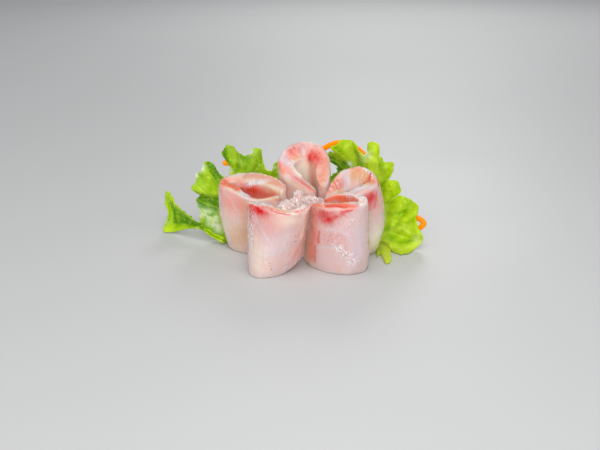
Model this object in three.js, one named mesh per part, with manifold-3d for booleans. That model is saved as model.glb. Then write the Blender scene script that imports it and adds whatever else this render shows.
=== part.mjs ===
// A serving of sashimi: five slices of white fish, each folded round a hollow and stood on its long edge as
// a petal of a rosette, a mound of clear shreds in the middle, and frilly lettuce and carrot strands round
// the back. Millimetres, +Z up, front towards -Y. The origin is the middle of the footprint, on the surface
// that it all stands on.

import * as THREE from "three";
import Module from "manifold-3d";
import { mergeVertices } from "three/addons/utils/BufferGeometryUtils.js";

const wasm = await Module();
wasm.setup();

// Driving dimensions

const MIDDLE = [3.6, -12.3, 0]; // from the origin to the middle of the rosette

const SLICE_STEPS = 34; // along a slice
// Its section: points round it as shares of half its thickness, outwards, and of half its height, upwards
const SLICE_SECTION = [[1, 0], [1, 0.45], [1, 0.92], [0.7, 1], [-0.7, 1], [-1, 0.92], [-1, 0.45], [-1, 0],
  [-1, -0.45], [-1, -0.92], [-0.7, -1], [0.7, -1], [1, -0.92], [1, -0.45]];
const END_ROUNDING = 5; // length over which a cut end thins
const END_THIN = 0.6; // what is left of the thickness there

const LEAF_THICKNESS = 0.9;
const LEAF_STEPS_IN = 2; // from the base to the waist
const LEAF_STEPS_OUT = 5; // from the waist to the edge
const LEAF_LEAN = (17 * Math.PI) / 180; // every leaf leans back by this much

const CARROT_SECTION = [2.5, 2];
const CARROT_STEPS = 5; // between one point of its curve and the next

// The mound's core: overlapping blobs with the [x, y] of the middle, the half-lengths along and across, the
// heading and the height of the top
const MOUND_BLOBS = [
  { middle: [-5.2, -2.2], reach: [8.6, 4.4], heading: 1.1, top: 28 },
  { middle: [4.3, 2.6], reach: [7.4, 3.3], heading: 0.1, top: 27.5 },
  { middle: [-0.6, 2.6], reach: [4.6, 3.4], heading: 0.2, top: 29.8 },
];
const SHREDS_PER_BLOB = 6;
const SHRED_SECTION = [2.2, 1.4];
const SHRED_REACH = 4.5; // how far a shred's loop stands off the mound

// The slices. foot and crest are the lower and upper edges, each a curve of [x, y, z] through the middle of
// the thickness with the hollow on its left. thickness and rise are values evenly along the slice: rise slopes
// the cut face of the crest up towards the back. belly bows the fold out at half height.
const SLICES = {
  slice_front_left: {
    thickness: [4.6, 4.6],
    rise: [0.1, 0.35, 0.35, 0.3, 0.1],
    belly: 1,
    crest: [[-22, -1.5, 28.4], [-20.7, -8, 29.6], [-17.5, -14, 30.4], [-13.5, -18, 30.4], [-8.5, -20.5, 29.4],
      [-3.5, -19.5, 28.8], [0.5, -15, 28.6], [2.3, -9.5, 28.4], [2.3, -5.5, 28]],
    foot: [[-20, -13.5, 0], [-20, -19, -0.5], [-17.8, -22.9, -0.6], [-14, -22.8, -0.6], [-9.5, -19.5, -0.4],
      [-5.7, -15, 1], [-3, -11, 2.5], [-1.5, -8, 3.5], [-1, -5, 4]],
  },
  slice_front_right: {
    thickness: [4.4, 4.8, 4.8, 4.3, 4],
    rise: [0.2, 0.4, 0.4, 0.2, -0.2, -0.2],
    belly: 0.6,
    crest: [[5.2, -1.7, 28], [7.6, -8, 29.6], [11.3, -15, 30.6], [17.5, -18.5, 31.4], [23.5, -17.8, 31.6],
      [27, -13, 31], [27, -7, 31.6], [22, -3.8, 32.8], [16, -3.6, 32], [10.6, -3.3, 30.2]],
    foot: [[3.4, -0.3, 1], [4.6, -4.6, 0.4], [9, -11.5, -0.4], [15.5, -17, -0.6], [22, -18.2, -0.6],
      [27, -13.5, -0.6], [26.5, -6.5, 0], [21.5, -3.6, 0.6], [16, -3.5, 1], [10.6, -3.3, 1.5]],
  },
  slice_right: {
    thickness: [4.6, 5.2, 5.2, 5.4, 6.2, 8, 9, 8.4, 6.2, 3.8],
    rise: [0.2, 0.3, 0.3, 0.4, 0.7, 1, 1, 1, 0.7, 0.3],
    belly: 4.2,
    crest: [[15.5, 2.2, 27.6], [20.5, 2.4, 29.6], [26, 3.9, 31.9], [30.4, 6.8, 33.3], [31.6, 11.8, 34.1],
      [29.1, 16.8, 34.5], [24.8, 18.1, 34.1], [20.3, 16.2, 33.1], [16.1, 12, 30.9], [11.6, 7.6, 27.9]],
    foot: [[15.5, 2.4, 1.5], [20, 3.2, 1], [24, 5.4, 0.4], [29.2, 8.2, 0], [31.5, 11.8, 0],
      [28, 14.9, 0], [24.4, 15.9, 0.4], [20, 14.8, 0.6], [15.4, 11.6, 1], [11, 8, 1.5]],
  },
  slice_back: {
    thickness: [5.2, 6.6, 7.6, 8.2, 8.2, 7.6, 6.6, 5, 3.4],
    rise: [0.75, 0.75, 0.75, 0.65, 0.2],
    belly: 0.8,
    crest: [[10, 15.2, 31.5], [10.7, 20.6, 36.2], [9.4, 28, 41.4], [4.3, 31.9, 44.1], [-2, 30.4, 43.4],
      [-6.2, 25.2, 40.5], [-5, 19.4, 37], [-0.2, 14.9, 34], [7.2, 11, 29.5]],
    foot: [[9.7, 15.2, 1.5], [10.2, 20, 0.8], [8.8, 26.4, 0.4], [4, 30, 0], [-2, 28.6, 0],
      [-5.2, 24.2, 0.4], [-4.2, 19.2, 0.8], [0, 14.8, 1.2], [7.2, 11.3, 1.5]],
  },
  slice_left: {
    thickness: [4.8, 5.6, 6.2, 7, 8, 7.6, 6.6, 5.2, 4.4],
    rise: [0.6, 0.75, 0.75, 0.75, 0.6, 0.2, 0, 0, 0.1],
    belly: 2.2,
    crest: [[-6.9, 8.6, 31], [-12.5, 15.8, 32.8], [-19.9, 22.7, 32.5], [-27.4, 26.9, 30.9], [-32.6, 27, 29.6],
      [-32.6, 23.4, 29.1], [-28, 17.5, 27.5], [-20.5, 10.6, 25.6], [-9.6, 4.4, 26.9]],
    foot: [[-8.4, 8.6, 1.5], [-13.5, 15.6, 1], [-19.3, 21.1, 0.6], [-24.8, 23.3, 0.4], [-28.4, 22, 0],
      [-28.7, 18.2, -0.4], [-26.4, 13.1, -0.6], [-20, 8.6, 0], [-9.8, 4.6, 1.5]],
  },
};

// The leaves. base, waist and edge are curves of [across, up] in a plane that leans back from the line
// y = depth, and the sheet spans from one to the next. push is how far each of them stands out of that
// plane, turn swings the leaf round the vertical, and ruffle is the height, the count and the phase of the
// waves along the edge.
const LEAVES = {
  lettuce_right: {
    depth: 14,
    push: [-9, -8, 0],
    turn: 0,
    ruffle: [1.3, 9, 0.4],
    base: [[26, 20], [29, 17], [32, 12], [34, 8], [35, 4.5], [34.8, 1.5]],
    waist: [[24, 38.5], [28.5, 34], [32, 27.5], [34.5, 21], [35.8, 14], [36.2, 8], [35.7, 4], [35, 1.5]],
    edge: [[15.5, 45.5], [14.5, 47.5], [19.5, 50.5], [24, 50.5], [26, 46.5], [29, 44], [31, 45], [31.5, 50],
      [36, 48.5], [37, 43.5], [39, 40.5], [42.5, 40.5], [43, 37], [40, 32.5], [44.5, 32], [46, 27.5],
      [42.5, 23.5], [47, 25], [51.5, 23], [54.5, 19.5], [53.5, 15.5], [54.5, 10], [56.5, 5], [53.5, 1],
      [47.5, -1.5], [43, -0.5], [40.5, 3.5], [41.5, -2.5], [38.5, -5.5], [37, -1], [35, -3], [35.3, -0.5]],
  },
  lettuce_middle: {
    depth: 26,
    push: [0, 0, 0],
    turn: 0,
    ruffle: [0.6, 3, 0],
    base: [[25, 1.5], [22, 1], [19, 1]],
    waist: [[23.5, 35], [22.5, 31.5], [20, 28]],
    edge: [[22, 39], [17, 41.5], [13, 42.5], [13, 39], [16.5, 37], [17.5, 34.5], [15.5, 32], [12.5, 30.5],
      [13.5, 28]],
  },
  lettuce_back: {
    depth: 26,
    push: [-2.8, -2, 0],
    turn: 0,
    ruffle: [0.8, 4, 1],
    base: [[-28, 2], [-25, 1.2], [-21, 1], [-17, 2]],
    waist: [[-30, 29.5], [-25.5, 29.5], [-17.5, 28.5], [-8.5, 27]],
    edge: [[-33, 31.5], [-32, 35.5], [-34.5, 39.5], [-36.5, 42], [-34.5, 45.5], [-32, 45.5], [-28.5, 42],
      [-24.5, 40.5], [-22, 44], [-18.5, 43.5], [-18, 39.5], [-16, 34], [-12.5, 34], [-12, 37], [-9, 37],
      [-5.5, 33.5]],
  },
  lettuce_left: {
    depth: 20,
    push: [-10, -10, -8.6],
    turn: 0,
    ruffle: [0.8, 4, 2],
    base: [[-31, 20], [-30, 14.5], [-29.5, 9.5], [-30, 5.5], [-31.5, 2.5]],
    waist: [[-34, 30], [-34, 23.5], [-34, 16], [-33, 8.5], [-32.5, 3]],
    edge: [[-36, 32.5], [-39.5, 36], [-42, 40], [-45.5, 38.5], [-46.5, 35], [-48.5, 34.5], [-49.5, 30],
      [-51, 26.5], [-46, 25], [-47.5, 23.5], [-48.5, 20.5], [-46.5, 16], [-47, 12], [-43.5, 7.5], [-40, 4],
      [-35, 1.5]],
  },
  lettuce_boat: {
    depth: 20,
    push: [26.5, 24.5, 26.5],
    turn: 0.75,
    ruffle: [0, 1, 0],
    base: [[-35.3, 1.7], [-41, 4.5], [-46.5, 8], [-54, 8], [-61, 6.5], [-65.5, 7.5], [-62.5, 14],
      [-64.5, 20]],
    waist: [[-35.3, 2.5], [-41.2, 5.4], [-46, 8.7], [-52.5, 10.5], [-58.2, 11], [-62.5, 12.5], [-62.5, 18.5],
      [-64.5, 23]],
    edge: [[-35.3, 3.4], [-41.5, 6.5], [-45.5, 9.5], [-51, 13.5], [-55, 16.5], [-58.5, 19.5], [-61.5, 24],
      [-64, 26.5]],
  },
};

// The carrot strands, each along a curve of [x, y, z]
const CARROTS = {
  carrot_top: [[7.5, 36.6, 39.2], [11, 36.6, 42.4], [15.4, 35.4, 44.9], [19.8, 33.8, 45.9],
    [24.5, 32.2, 44.7], [28.7, 31.4, 41.6], [31.5, 31, 38.3]],
  carrot_left: [[-36.4, 39.6, 34.9], [-32.4, 39.6, 34.5], [-27, 39.2, 33.4]],
  carrot_right: [[50.6, 22.8, 14.2], [54.2, 22.4, 13.1], [57.1, 21.8, 10.9], [55.6, 21.8, 8.6], [51.5, 22.3, 7.2]],
};

const part = new THREE.Group();

function finish(colour, roughness) {
  return new THREE.MeshStandardMaterial({ color: colour, roughness, metalness: 0 });
}

function addPiece(name, geometry, material) {
  const mesh = new THREE.Mesh(geometry, material);
  mesh.name = name;
  part.add(mesh);
}

function curveThrough(points) {
  const vectors = points.map(([x, y, z = 0]) => new THREE.Vector3(x, y, z));
  return new THREE.CatmullRomCurve3(vectors, false, "catmullrom", 0.5);
}

// A size at t, from values evenly along a piece
function sizeAlong(values) {
  const curve = curveThrough(values.map((value) => [value, 0]));
  return (t) => curve.getPoint(t).x;
}

// The same draws on every run
function seededDraws(seed) {
  let state = seed;
  return () => {
    state = (state * 1664525 + 1013904223) % 4294967296;
    return state / 4294967296;
  };
}

// A closed skin over rings of points: each ring joined to the next, the first and last closed at the middle
function skinOverRings(rings) {
  const count = rings[0].length;
  const points = rings.flat();
  const faces = [];
  const at = (ring, k) => ring * count + (k % count);
  for (let ring = 0; ring < rings.length - 1; ring++) {
    for (let k = 0; k < count; k++) {
      faces.push(at(ring, k), at(ring + 1, k), at(ring + 1, k + 1));
      faces.push(at(ring, k), at(ring + 1, k + 1), at(ring, k + 1));
    }
  }
  for (const [ring, turn] of [[0, 0], [rings.length - 1, 1]]) {
    const middle = new THREE.Vector3();
    rings[ring].forEach((point) => middle.add(point));
    const hub = points.push(middle.divideScalar(count)) - 1;
    for (let k = 0; k < count; k++) {
      faces.push(hub, at(ring, k + turn), at(ring, k + 1 - turn));
    }
  }
  const geometry = new THREE.BufferGeometry().setFromPoints(points);
  geometry.setIndex(faces);
  return geometry;
}

const signedPower = (value, power) => Math.sign(value) * Math.abs(value) ** power;

function sliceGeometry({ thickness, belly, rise, crest, foot }) {
  const crestCurve = curveThrough(crest);
  const footCurve = curveThrough(foot);
  const length = crestCurve.getLength();
  const thicknessAt = sizeAlong(thickness);
  const riseAt = sizeAlong(rise);
  const rings = [];
  for (let step = 0; step <= SLICE_STEPS; step++) {
    const t = step / SLICE_STEPS;
    const low = footCurve.getPoint(t);
    const high = crestCurve.getPoint(t);
    const half = high.clone().sub(low).multiplyScalar(0.5);
    const middle = low.clone().add(half);
    const along = crestCurve.getTangent(t).add(footCurve.getTangent(t)).setZ(0).normalize();
    const out = new THREE.Vector3(along.y, -along.x, 0);
    const toEnd = Math.min(t, 1 - t) * length;
    const thin = 1 - (1 - END_THIN) * Math.max(0, 1 - toEnd / END_ROUNDING) ** 2;
    const halfThick = (thicknessAt(t) / 2) * thin;
    const ring = [];
    for (const [share, up] of SLICE_SECTION) {
      const across = share * halfThick;
      const point = middle.clone().addScaledVector(half, up);
      point.addScaledVector(out, across + belly * (1 - up * up) * Math.sin(Math.PI * t) ** 2);
      point.z += riseAt(t) * out.y * across * ((up + 1) / 2);
      point.z = Math.max(0, point.z);
      ring.push(point);
    }
    rings.push(ring);
  }
  return skinOverRings(rings);
}

// A sheet over a grid of rows, thickened evenly to both sides, with both faces split into triangles alike
function sheetGeometry(rows, thickness) {
  const last = rows.length - 1;
  const width = rows[0].length;
  const points = [];
  for (const side of [1, -1]) {
    rows.forEach((row, i) => {
      row.forEach((point, j) => {
        const alongRows = rows[Math.min(i + 1, last)][j].clone().sub(rows[Math.max(i - 1, 0)][j]);
        const alongRow = row[Math.min(j + 1, width - 1)].clone().sub(row[Math.max(j - 1, 0)]);
        const normal = alongRows.cross(alongRow).normalize();
        points.push(point.clone().addScaledVector(normal, (side * thickness) / 2));
      });
    });
  }
  const under = rows.length * width;
  const faces = [];
  for (let i = 0; i < last; i++) {
    for (let j = 0; j < width - 1; j++) {
      const a = i * width + j;
      const [b, c, d] = [a + 1, a + width + 1, a + width];
      faces.push(a, c, b, a, d, c);
      faces.push(a + under, b + under, c + under, a + under, c + under, d + under);
    }
  }
  const rim = [];
  for (let i = 0; i < last; i++) {
    rim.push(i * width);
  }
  for (let j = 0; j < width - 1; j++) {
    rim.push(last * width + j);
  }
  for (let i = last; i > 0; i--) {
    rim.push(i * width + width - 1);
  }
  for (let j = width - 1; j > 0; j--) {
    rim.push(j);
  }
  rim.forEach((a, k) => {
    const b = rim[(k + 1) % rim.length];
    faces.push(a, a + under, b + under, a, b + under, b);
  });
  const geometry = new THREE.BufferGeometry().setFromPoints(points);
  geometry.setIndex(faces);
  return geometry;
}

function leafGeometry({ depth, push, turn, ruffle, base, waist, edge }) {
  const guides = [base, waist, edge].map(curveThrough);
  const stepsAlong = Math.max(2 * (edge.length - 1), 16);
  const [height, count, phase] = ruffle;
  const lowest = LEAF_THICKNESS / 2 + 0.1;
  const rows = [];
  for (let i = 0; i <= stepsAlong; i++) {
    const t = i / stepsAlong;
    const across = guides.map((guide) => guide.getPoint(t));
    const row = [];
    for (let j = 0; j <= LEAF_STEPS_IN + LEAF_STEPS_OUT; j++) {
      const outer = j > LEAF_STEPS_IN ? 1 : 0;
      const v = outer ? (j - LEAF_STEPS_IN) / LEAF_STEPS_OUT : j / LEAF_STEPS_IN;
      const { x, y: up } = across[outer].clone().lerp(across[outer + 1], v);
      const wave = outer * height * v * Math.sin(2 * Math.PI * count * t + phase);
      let out = push[outer] + (push[outer + 1] - push[outer]) * v + turn * x + wave;
      const drop = up * Math.cos(LEAF_LEAN) + out * Math.sin(LEAF_LEAN) - lowest;
      const lift = (Math.sqrt(drop * drop + 0.3) - drop) / 2;
      out += lift / Math.sin(LEAF_LEAN);
      row.push(
        new THREE.Vector3(
          x,
          depth + up * Math.sin(LEAF_LEAN) - out * Math.cos(LEAF_LEAN),
          up * Math.cos(LEAF_LEAN) + out * Math.sin(LEAF_LEAN),
        ),
      );
    }
    rows.push(row);
  }
  return sheetGeometry(rows, LEAF_THICKNESS);
}

function strandGeometry(points, [height, width], stepsBetween, sides = 6) {
  const curve = curveThrough(points);
  const steps = stepsBetween * (points.length - 1);
  const rings = [];
  for (let step = 0; step <= steps; step++) {
    const t = step / steps;
    const along = curve.getTangent(t);
    const side = along.clone().cross(new THREE.Vector3(0, 1, 0)).normalize();
    const other = side.clone().cross(along);
    const taper = 0.6 + 0.4 * Math.min(1, 8 * t, 8 * (1 - t));
    const ring = [];
    for (let k = 0; k < sides; k++) {
      const angle = ((k + 0.5) / sides) * 2 * Math.PI;
      const point = curve.getPoint(t);
      point.addScaledVector(side, (Math.cos(angle) * height * taper) / 2);
      point.addScaledVector(other, (Math.sin(angle) * width * taper) / 2);
      ring.push(point);
    }
    rings.push(ring);
  }
  return skinOverRings(rings);
}

const solidOf = (geometry) => {
  const merged = mergeVertices(geometry, 1e-4);
  return new wasm.Manifold(
    new wasm.Mesh({
      numProp: 3,
      vertProperties: new Float32Array(merged.attributes.position.array),
      triVerts: new Uint32Array(merged.index.array),
    }),
  );
};

const geometryOf = (solid) => {
  const { vertProperties, triVerts, numProp } = solid.getMesh();
  const geometry = new THREE.BufferGeometry();
  const positions = new Float32Array((vertProperties.length / numProp) * 3);
  for (let i = 0; i < positions.length; i++) {
    positions[i] = vertProperties[Math.floor(i / 3) * numProp + (i % 3)];
  }
  geometry.setAttribute("position", new THREE.BufferAttribute(positions, 3));
  geometry.setIndex(new THREE.BufferAttribute(new Uint32Array(triVerts), 1));
  return geometry;
};

// The clear shreds: a core with the shreds that show fused on as low loops
function moundGeometry() {
  const draw = seededDraws(22);
  const solids = [];
  for (const { middle, reach, heading, top } of MOUND_BLOBS) {
    const at = (along, across, z) => [
      middle[0] + reach[0] * along * Math.cos(heading) - reach[1] * across * Math.sin(heading),
      middle[1] + reach[0] * along * Math.sin(heading) + reach[1] * across * Math.cos(heading),
      z,
    ];
    const heightAt = (out) => top * 0.5 * (1 + (1 - out * out) ** 0.35);
    const core = new THREE.SphereGeometry(1, 10, 6);
    const place = core.attributes.position;
    for (let i = 0; i < place.count; i++) {
      const z = top * 0.5 * (1 + signedPower(place.getY(i), 0.7));
      place.setXYZ(i, ...at(place.getX(i), -place.getZ(i), z));
    }
    core.deleteAttribute("normal");
    core.deleteAttribute("uv");
    solids.push(solidOf(core));
    for (let i = 0; i < SHREDS_PER_BLOB; i++) {
      const around = 2 * Math.PI * draw();
      const out = Math.sqrt(draw()) * 0.7;
      const [x, y, z] = at(out * Math.cos(around), out * Math.sin(around), heightAt(out));
      const turn = 2 * Math.PI * draw();
      const half = 2 + 1.2 * draw();
      const rise = SHRED_REACH * (0.3 + 0.7 * draw());
      const [dx, dy] = [Math.cos(turn) * half, Math.sin(turn) * half];
      const loop = [
        [x - dx, y - dy, z - 3],
        [x - dx * 0.6, y - dy * 0.6, z + rise * 0.6],
        [x + dx * 0.3, y + dy * 0.3, z + rise],
        [x + dx, y + dy, z - 3],
      ];
      solids.push(solidOf(strandGeometry(loop, SHRED_SECTION, 2, 4)));
    }
  }
  return geometryOf(wasm.Manifold.union(solids));
}

const fish = finish(0xecd0c8, 0.3);
for (const [name, slice] of Object.entries(SLICES)) {
  addPiece(name, sliceGeometry(slice), fish);
}

addPiece("mound", moundGeometry(), finish(0xe6dcd8, 0.15));

const lettuce = finish(0x93c01f, 0.4);
for (const [name, leaf] of Object.entries(LEAVES)) {
  addPiece(name, leafGeometry(leaf), lettuce);
}

const carrot = finish(0xf98a14, 0.4);
for (const [name, points] of Object.entries(CARROTS)) {
  addPiece(name, strandGeometry(points, CARROT_SECTION, CARROT_STEPS), carrot);
}

part.position.set(...MIDDLE);

export default part;
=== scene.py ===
"""A serving of sashimi: five folded slices of white fish round a mound of clear shreds, with lettuce and carrot.

The tables give millimetres from the middle of the rosette, with +Z up and the front towards -Y. Every piece is
moved by MIDDLE and brought to metres when its points are placed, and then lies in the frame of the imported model.
"""

import logging
import math
import random
from dataclasses import dataclass, field
from enum import Enum
from typing import Sequence

import bpy
import numpy as np
from bpy.types import ID, Material, Node, NodeSocket, NodeTree, Object
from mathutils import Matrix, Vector, noise
from numpy import ndarray as Array


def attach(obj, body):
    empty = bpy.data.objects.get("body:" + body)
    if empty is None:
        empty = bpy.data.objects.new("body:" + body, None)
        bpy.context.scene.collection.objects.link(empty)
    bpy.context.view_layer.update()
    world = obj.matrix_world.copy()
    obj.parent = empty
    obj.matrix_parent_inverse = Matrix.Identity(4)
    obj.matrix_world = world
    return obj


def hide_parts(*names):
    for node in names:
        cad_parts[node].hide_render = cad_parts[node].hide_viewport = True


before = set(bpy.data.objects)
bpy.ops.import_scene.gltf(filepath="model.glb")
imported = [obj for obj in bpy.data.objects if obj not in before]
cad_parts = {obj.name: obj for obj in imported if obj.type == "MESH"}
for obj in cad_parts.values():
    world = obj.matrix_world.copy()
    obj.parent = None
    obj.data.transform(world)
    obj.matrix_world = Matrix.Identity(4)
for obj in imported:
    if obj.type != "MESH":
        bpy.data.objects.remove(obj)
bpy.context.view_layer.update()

log = logging.getLogger("sashimi")

MM = 0.001
MIDDLE = np.array([3.6, -12.3, 0.0])
LEAN = math.radians(17)  # How far the leaves' planes lean back, and how far down the camera looks.
NEAR = 1e-3  # How far along a curve its heading is taken over.
AIM = Vector((0.0, 0.0, 0.02))  # What the lights point at, in metres.

Path = Sequence[Sequence[float]]


# --- Curves and fields ---


@dataclass(frozen=True)
class Curve:
    """A smooth curve through points, where each point is as far along it as its place in the list.

    Attributes:
        points: the points, in order.
    """

    points: Path

    def at(self, t: Array) -> Array:
        """The places on the curve.

        Args:
            t: how far along each place is, from 0 to 1.

        Returns:
            One row for each value of t.
        """
        knots = np.array(self.points, float)
        count = len(knots)
        knots = np.vstack([2 * knots[0] - knots[1], knots, 2 * knots[-1] - knots[-2]])
        place = np.clip(t, 0, 1) * (count - 1)
        first = np.minimum(place.astype(int), count - 2)
        w = (place - first)[:, None]
        a, b, c, d = (knots[first + k] for k in range(4))
        leave, arrive = (c - a) / 2, (d - b) / 2
        return b + leave * w + (3 * (c - b) - 2 * leave - arrive) * w**2 + (2 * (b - c) + leave + arrive) * w**3

    def heading(self, t: Array) -> Array:
        """The unit vectors along the curve at t."""
        step = self.at(np.minimum(t + NEAR, 1)) - self.at(np.maximum(t - NEAR, 0))
        return step / np.linalg.norm(step, axis=1, keepdims=True)

    def length(self) -> float:
        """The curve's length."""
        places = self.at(np.linspace(0, 1, 200))
        return float(np.linalg.norm(np.diff(places, axis=0), axis=1).sum())


def along_it(values: Sequence[float], t: Array) -> Array:
    """A size at t, from values evenly along a piece."""
    return Curve([[value] for value in values]).at(t)[:, 0]


def smooth(low: float, high: float, value: Array) -> Array:
    """An even step from 0 at low to 1 at high."""
    x = np.clip((value - low) / (high - low), 0, 1)
    return x * x * (3 - 2 * x)


@dataclass(frozen=True)
class Mark:
    """A spot or a line on a slice or a leaf.

    Attributes:
        kind: what it is made of, what light or shade it paints, or what it does to the colour.
        strength: how much of that there is at its middle.
        raised: how far the surface stands out there, in millimetres.
        reach: its half-width, or a spot's half-lengths along and round, in millimetres.
        path: a spot's place or a line's corners. On a slice each is how far along it lies, from 0 to 1, and how
            far round the section: 0 to 1 up the outer face, 1 to 2 over the crest and 2 to 3 down the inner face.
            On a leaf each is [across, up] in the leaf's plane, in millimetres.
    """

    kind: Enum
    strength: float
    raised: float
    reach: Sequence[float]
    path: Array

    def share(self, places: Array, path: Array) -> Array:
        """Works out how much of the mark there is.

        Args:
            places: the places on the flat skin, in millimetres, one row each.
            path: the mark's own path there, likewise.

        Returns:
            One value for each place, from 0 to 1.
        """
        places, path = places / self.reach, path / self.reach
        far = np.linalg.norm(places - path[0], axis=1)
        for start, end in zip(path[:-1], path[1:]):
            step = end - start
            w = np.clip((places - start) @ step / (step @ step), 0, 1)
            far = np.minimum(far, np.linalg.norm(places - start - w[:, None] * step, axis=1))
        return np.exp(-(far**2))


@dataclass(frozen=True)
class Grain:
    """An unevenness, as soft noise.

    Attributes:
        height: how strong it is.
        patch: how long one patch of it is, along all axes or along each.
        number: another value gives another pattern.
        octaves: how many layers of ever finer noise it has.
    """

    height: float
    patch: float | Sequence[float]
    number: int
    octaves: int = 2

    def at(self, points: Array, seed: float = 0.0) -> Array:
        """Works it out at points.

        Args:
            points: one row of three for each point.
            seed: another value gives another pattern.

        Returns:
            One value for each point, mostly within the height either way.
        """
        apart, rough, finer = 17.3, 0.7, 2.1
        scaled = points / np.array(self.patch) + (self.number + seed) * apart
        values = [noise.fractal(Vector(p), rough, finer, self.octaves) for p in scaled.tolist()]
        return self.height * np.array(values)


# --- Modelling by hand ---


class Bench:
    """Where a piece is modelled: what is selected there, and how a mesh is read, placed and finished."""

    @staticmethod
    def clear() -> None:
        """Deselects everything."""
        bpy.ops.object.select_all(action="DESELECT")

    @staticmethod
    def hold(*pieces: Object) -> None:
        """Selects some pieces alone.

        Args:
            pieces: the pieces. The first becomes the active one.
        """
        Bench.clear()
        for piece in pieces:
            piece.select_set(True)
        bpy.context.view_layer.objects.active = pieces[0]

    @staticmethod
    def add(name: str, data: ID) -> Object:
        """Puts something into the scene.

        Args:
            name: its name.
            data: its mesh, light or camera.

        Returns:
            Its object.
        """
        piece = bpy.data.objects.new(name, data)
        bpy.context.scene.collection.objects.link(piece)
        return piece

    @staticmethod
    def join(name: str, pieces: Sequence[Object]) -> Object:
        """Joins pieces.

        Args:
            name: the name of the whole.
            pieces: its parts.

        Returns:
            The whole, selected.
        """
        Bench.hold(*pieces)
        bpy.ops.object.join()
        whole = bpy.context.object
        whole.name = whole.data.name = name
        return whole

    @staticmethod
    def grid(name: str, along: int, across: int) -> Object:
        """A flat sheet with its own UV map.

        Args:
            name: the piece's name.
            along: faces along X, which is U.
            across: faces along Y, which is V.

        Returns:
            The sheet, 1 m square, with its middle at the origin.
        """
        Bench.clear()
        bpy.ops.mesh.primitive_grid_add(x_subdivisions=along, y_subdivisions=across, size=1)
        piece = bpy.context.object
        piece.name = piece.data.name = name
        return piece

    @staticmethod
    def points(piece: Object) -> Array:
        """Reads a piece's points.

        Args:
            piece: the piece.

        Returns:
            The points, one row each.
        """
        flat = np.empty(len(piece.data.vertices) * 3, np.float32)
        piece.data.vertices.foreach_get("co", flat)
        return flat.reshape(-1, 3).astype(float)

    @staticmethod
    def place(piece: Object, points: Array) -> None:
        """Moves a piece's points.

        Args:
            piece: the piece.
            points: where each point goes, in millimetres from the middle of the rosette.
        """
        placed = (points + MIDDLE) * MM
        piece.data.vertices.foreach_set("co", placed.astype(np.float32).ravel())
        piece.data.update()

    @staticmethod
    def keep(piece: Object, name: str, kind: str, values: Array) -> None:
        """Stores an attribute on a piece's points.

        Args:
            piece: the piece.
            name: the attribute's name.
            kind: FLOAT, FLOAT_VECTOR or FLOAT_COLOR.
            values: one row for each point.
        """
        attribute = piece.data.attributes.new(name, kind, "POINT")
        socket = {"FLOAT": "value", "FLOAT_VECTOR": "vector", "FLOAT_COLOR": "color"}[kind]
        attribute.data.foreach_set(socket, values.astype(np.float32).ravel())

    @staticmethod
    def apply(piece: Object, kind: str, **settings: object) -> None:
        """Adds one modifier and applies it.

        Args:
            piece: the piece.
            kind: the modifier's type.
            settings: its values, by name.
        """
        Bench.hold(piece)
        modifier = piece.modifiers.new(kind.lower(), kind)
        for key, value in settings.items():
            setattr(modifier, key, value)
        bpy.ops.object.modifier_apply(modifier=modifier.name)

    @staticmethod
    def close(piece: Object, gap: float = 1e-7) -> None:
        """Merges doubles, turns the faces outwards and shades the piece smooth.

        Args:
            piece: the piece.
            gap: how close two points are to be merged, in metres.
        """
        Bench.hold(piece)
        bpy.ops.object.mode_set(mode="EDIT")
        bpy.ops.mesh.select_all(action="SELECT")
        bpy.ops.mesh.remove_doubles(threshold=gap)
        bpy.ops.mesh.normals_make_consistent(inside=False)
        bpy.ops.object.mode_set(mode="OBJECT")
        bpy.ops.object.shade_smooth()

    @staticmethod
    def dress(piece: Object, material: Material, slot: str, *nodes: str) -> None:
        """Gives a piece its material and its place in the frame.

        Args:
            piece: the finished piece.
            material: its material.
            slot: not used.
            nodes: the CAD nodes that it stands for.
        """
        piece.data.materials.clear()
        piece.data.materials.append(material)
        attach(piece, "root")
        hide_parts(*nodes)
        log.info("%s: %d faces", piece.name, len(piece.data.polygons))


# --- Materials ---


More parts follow.
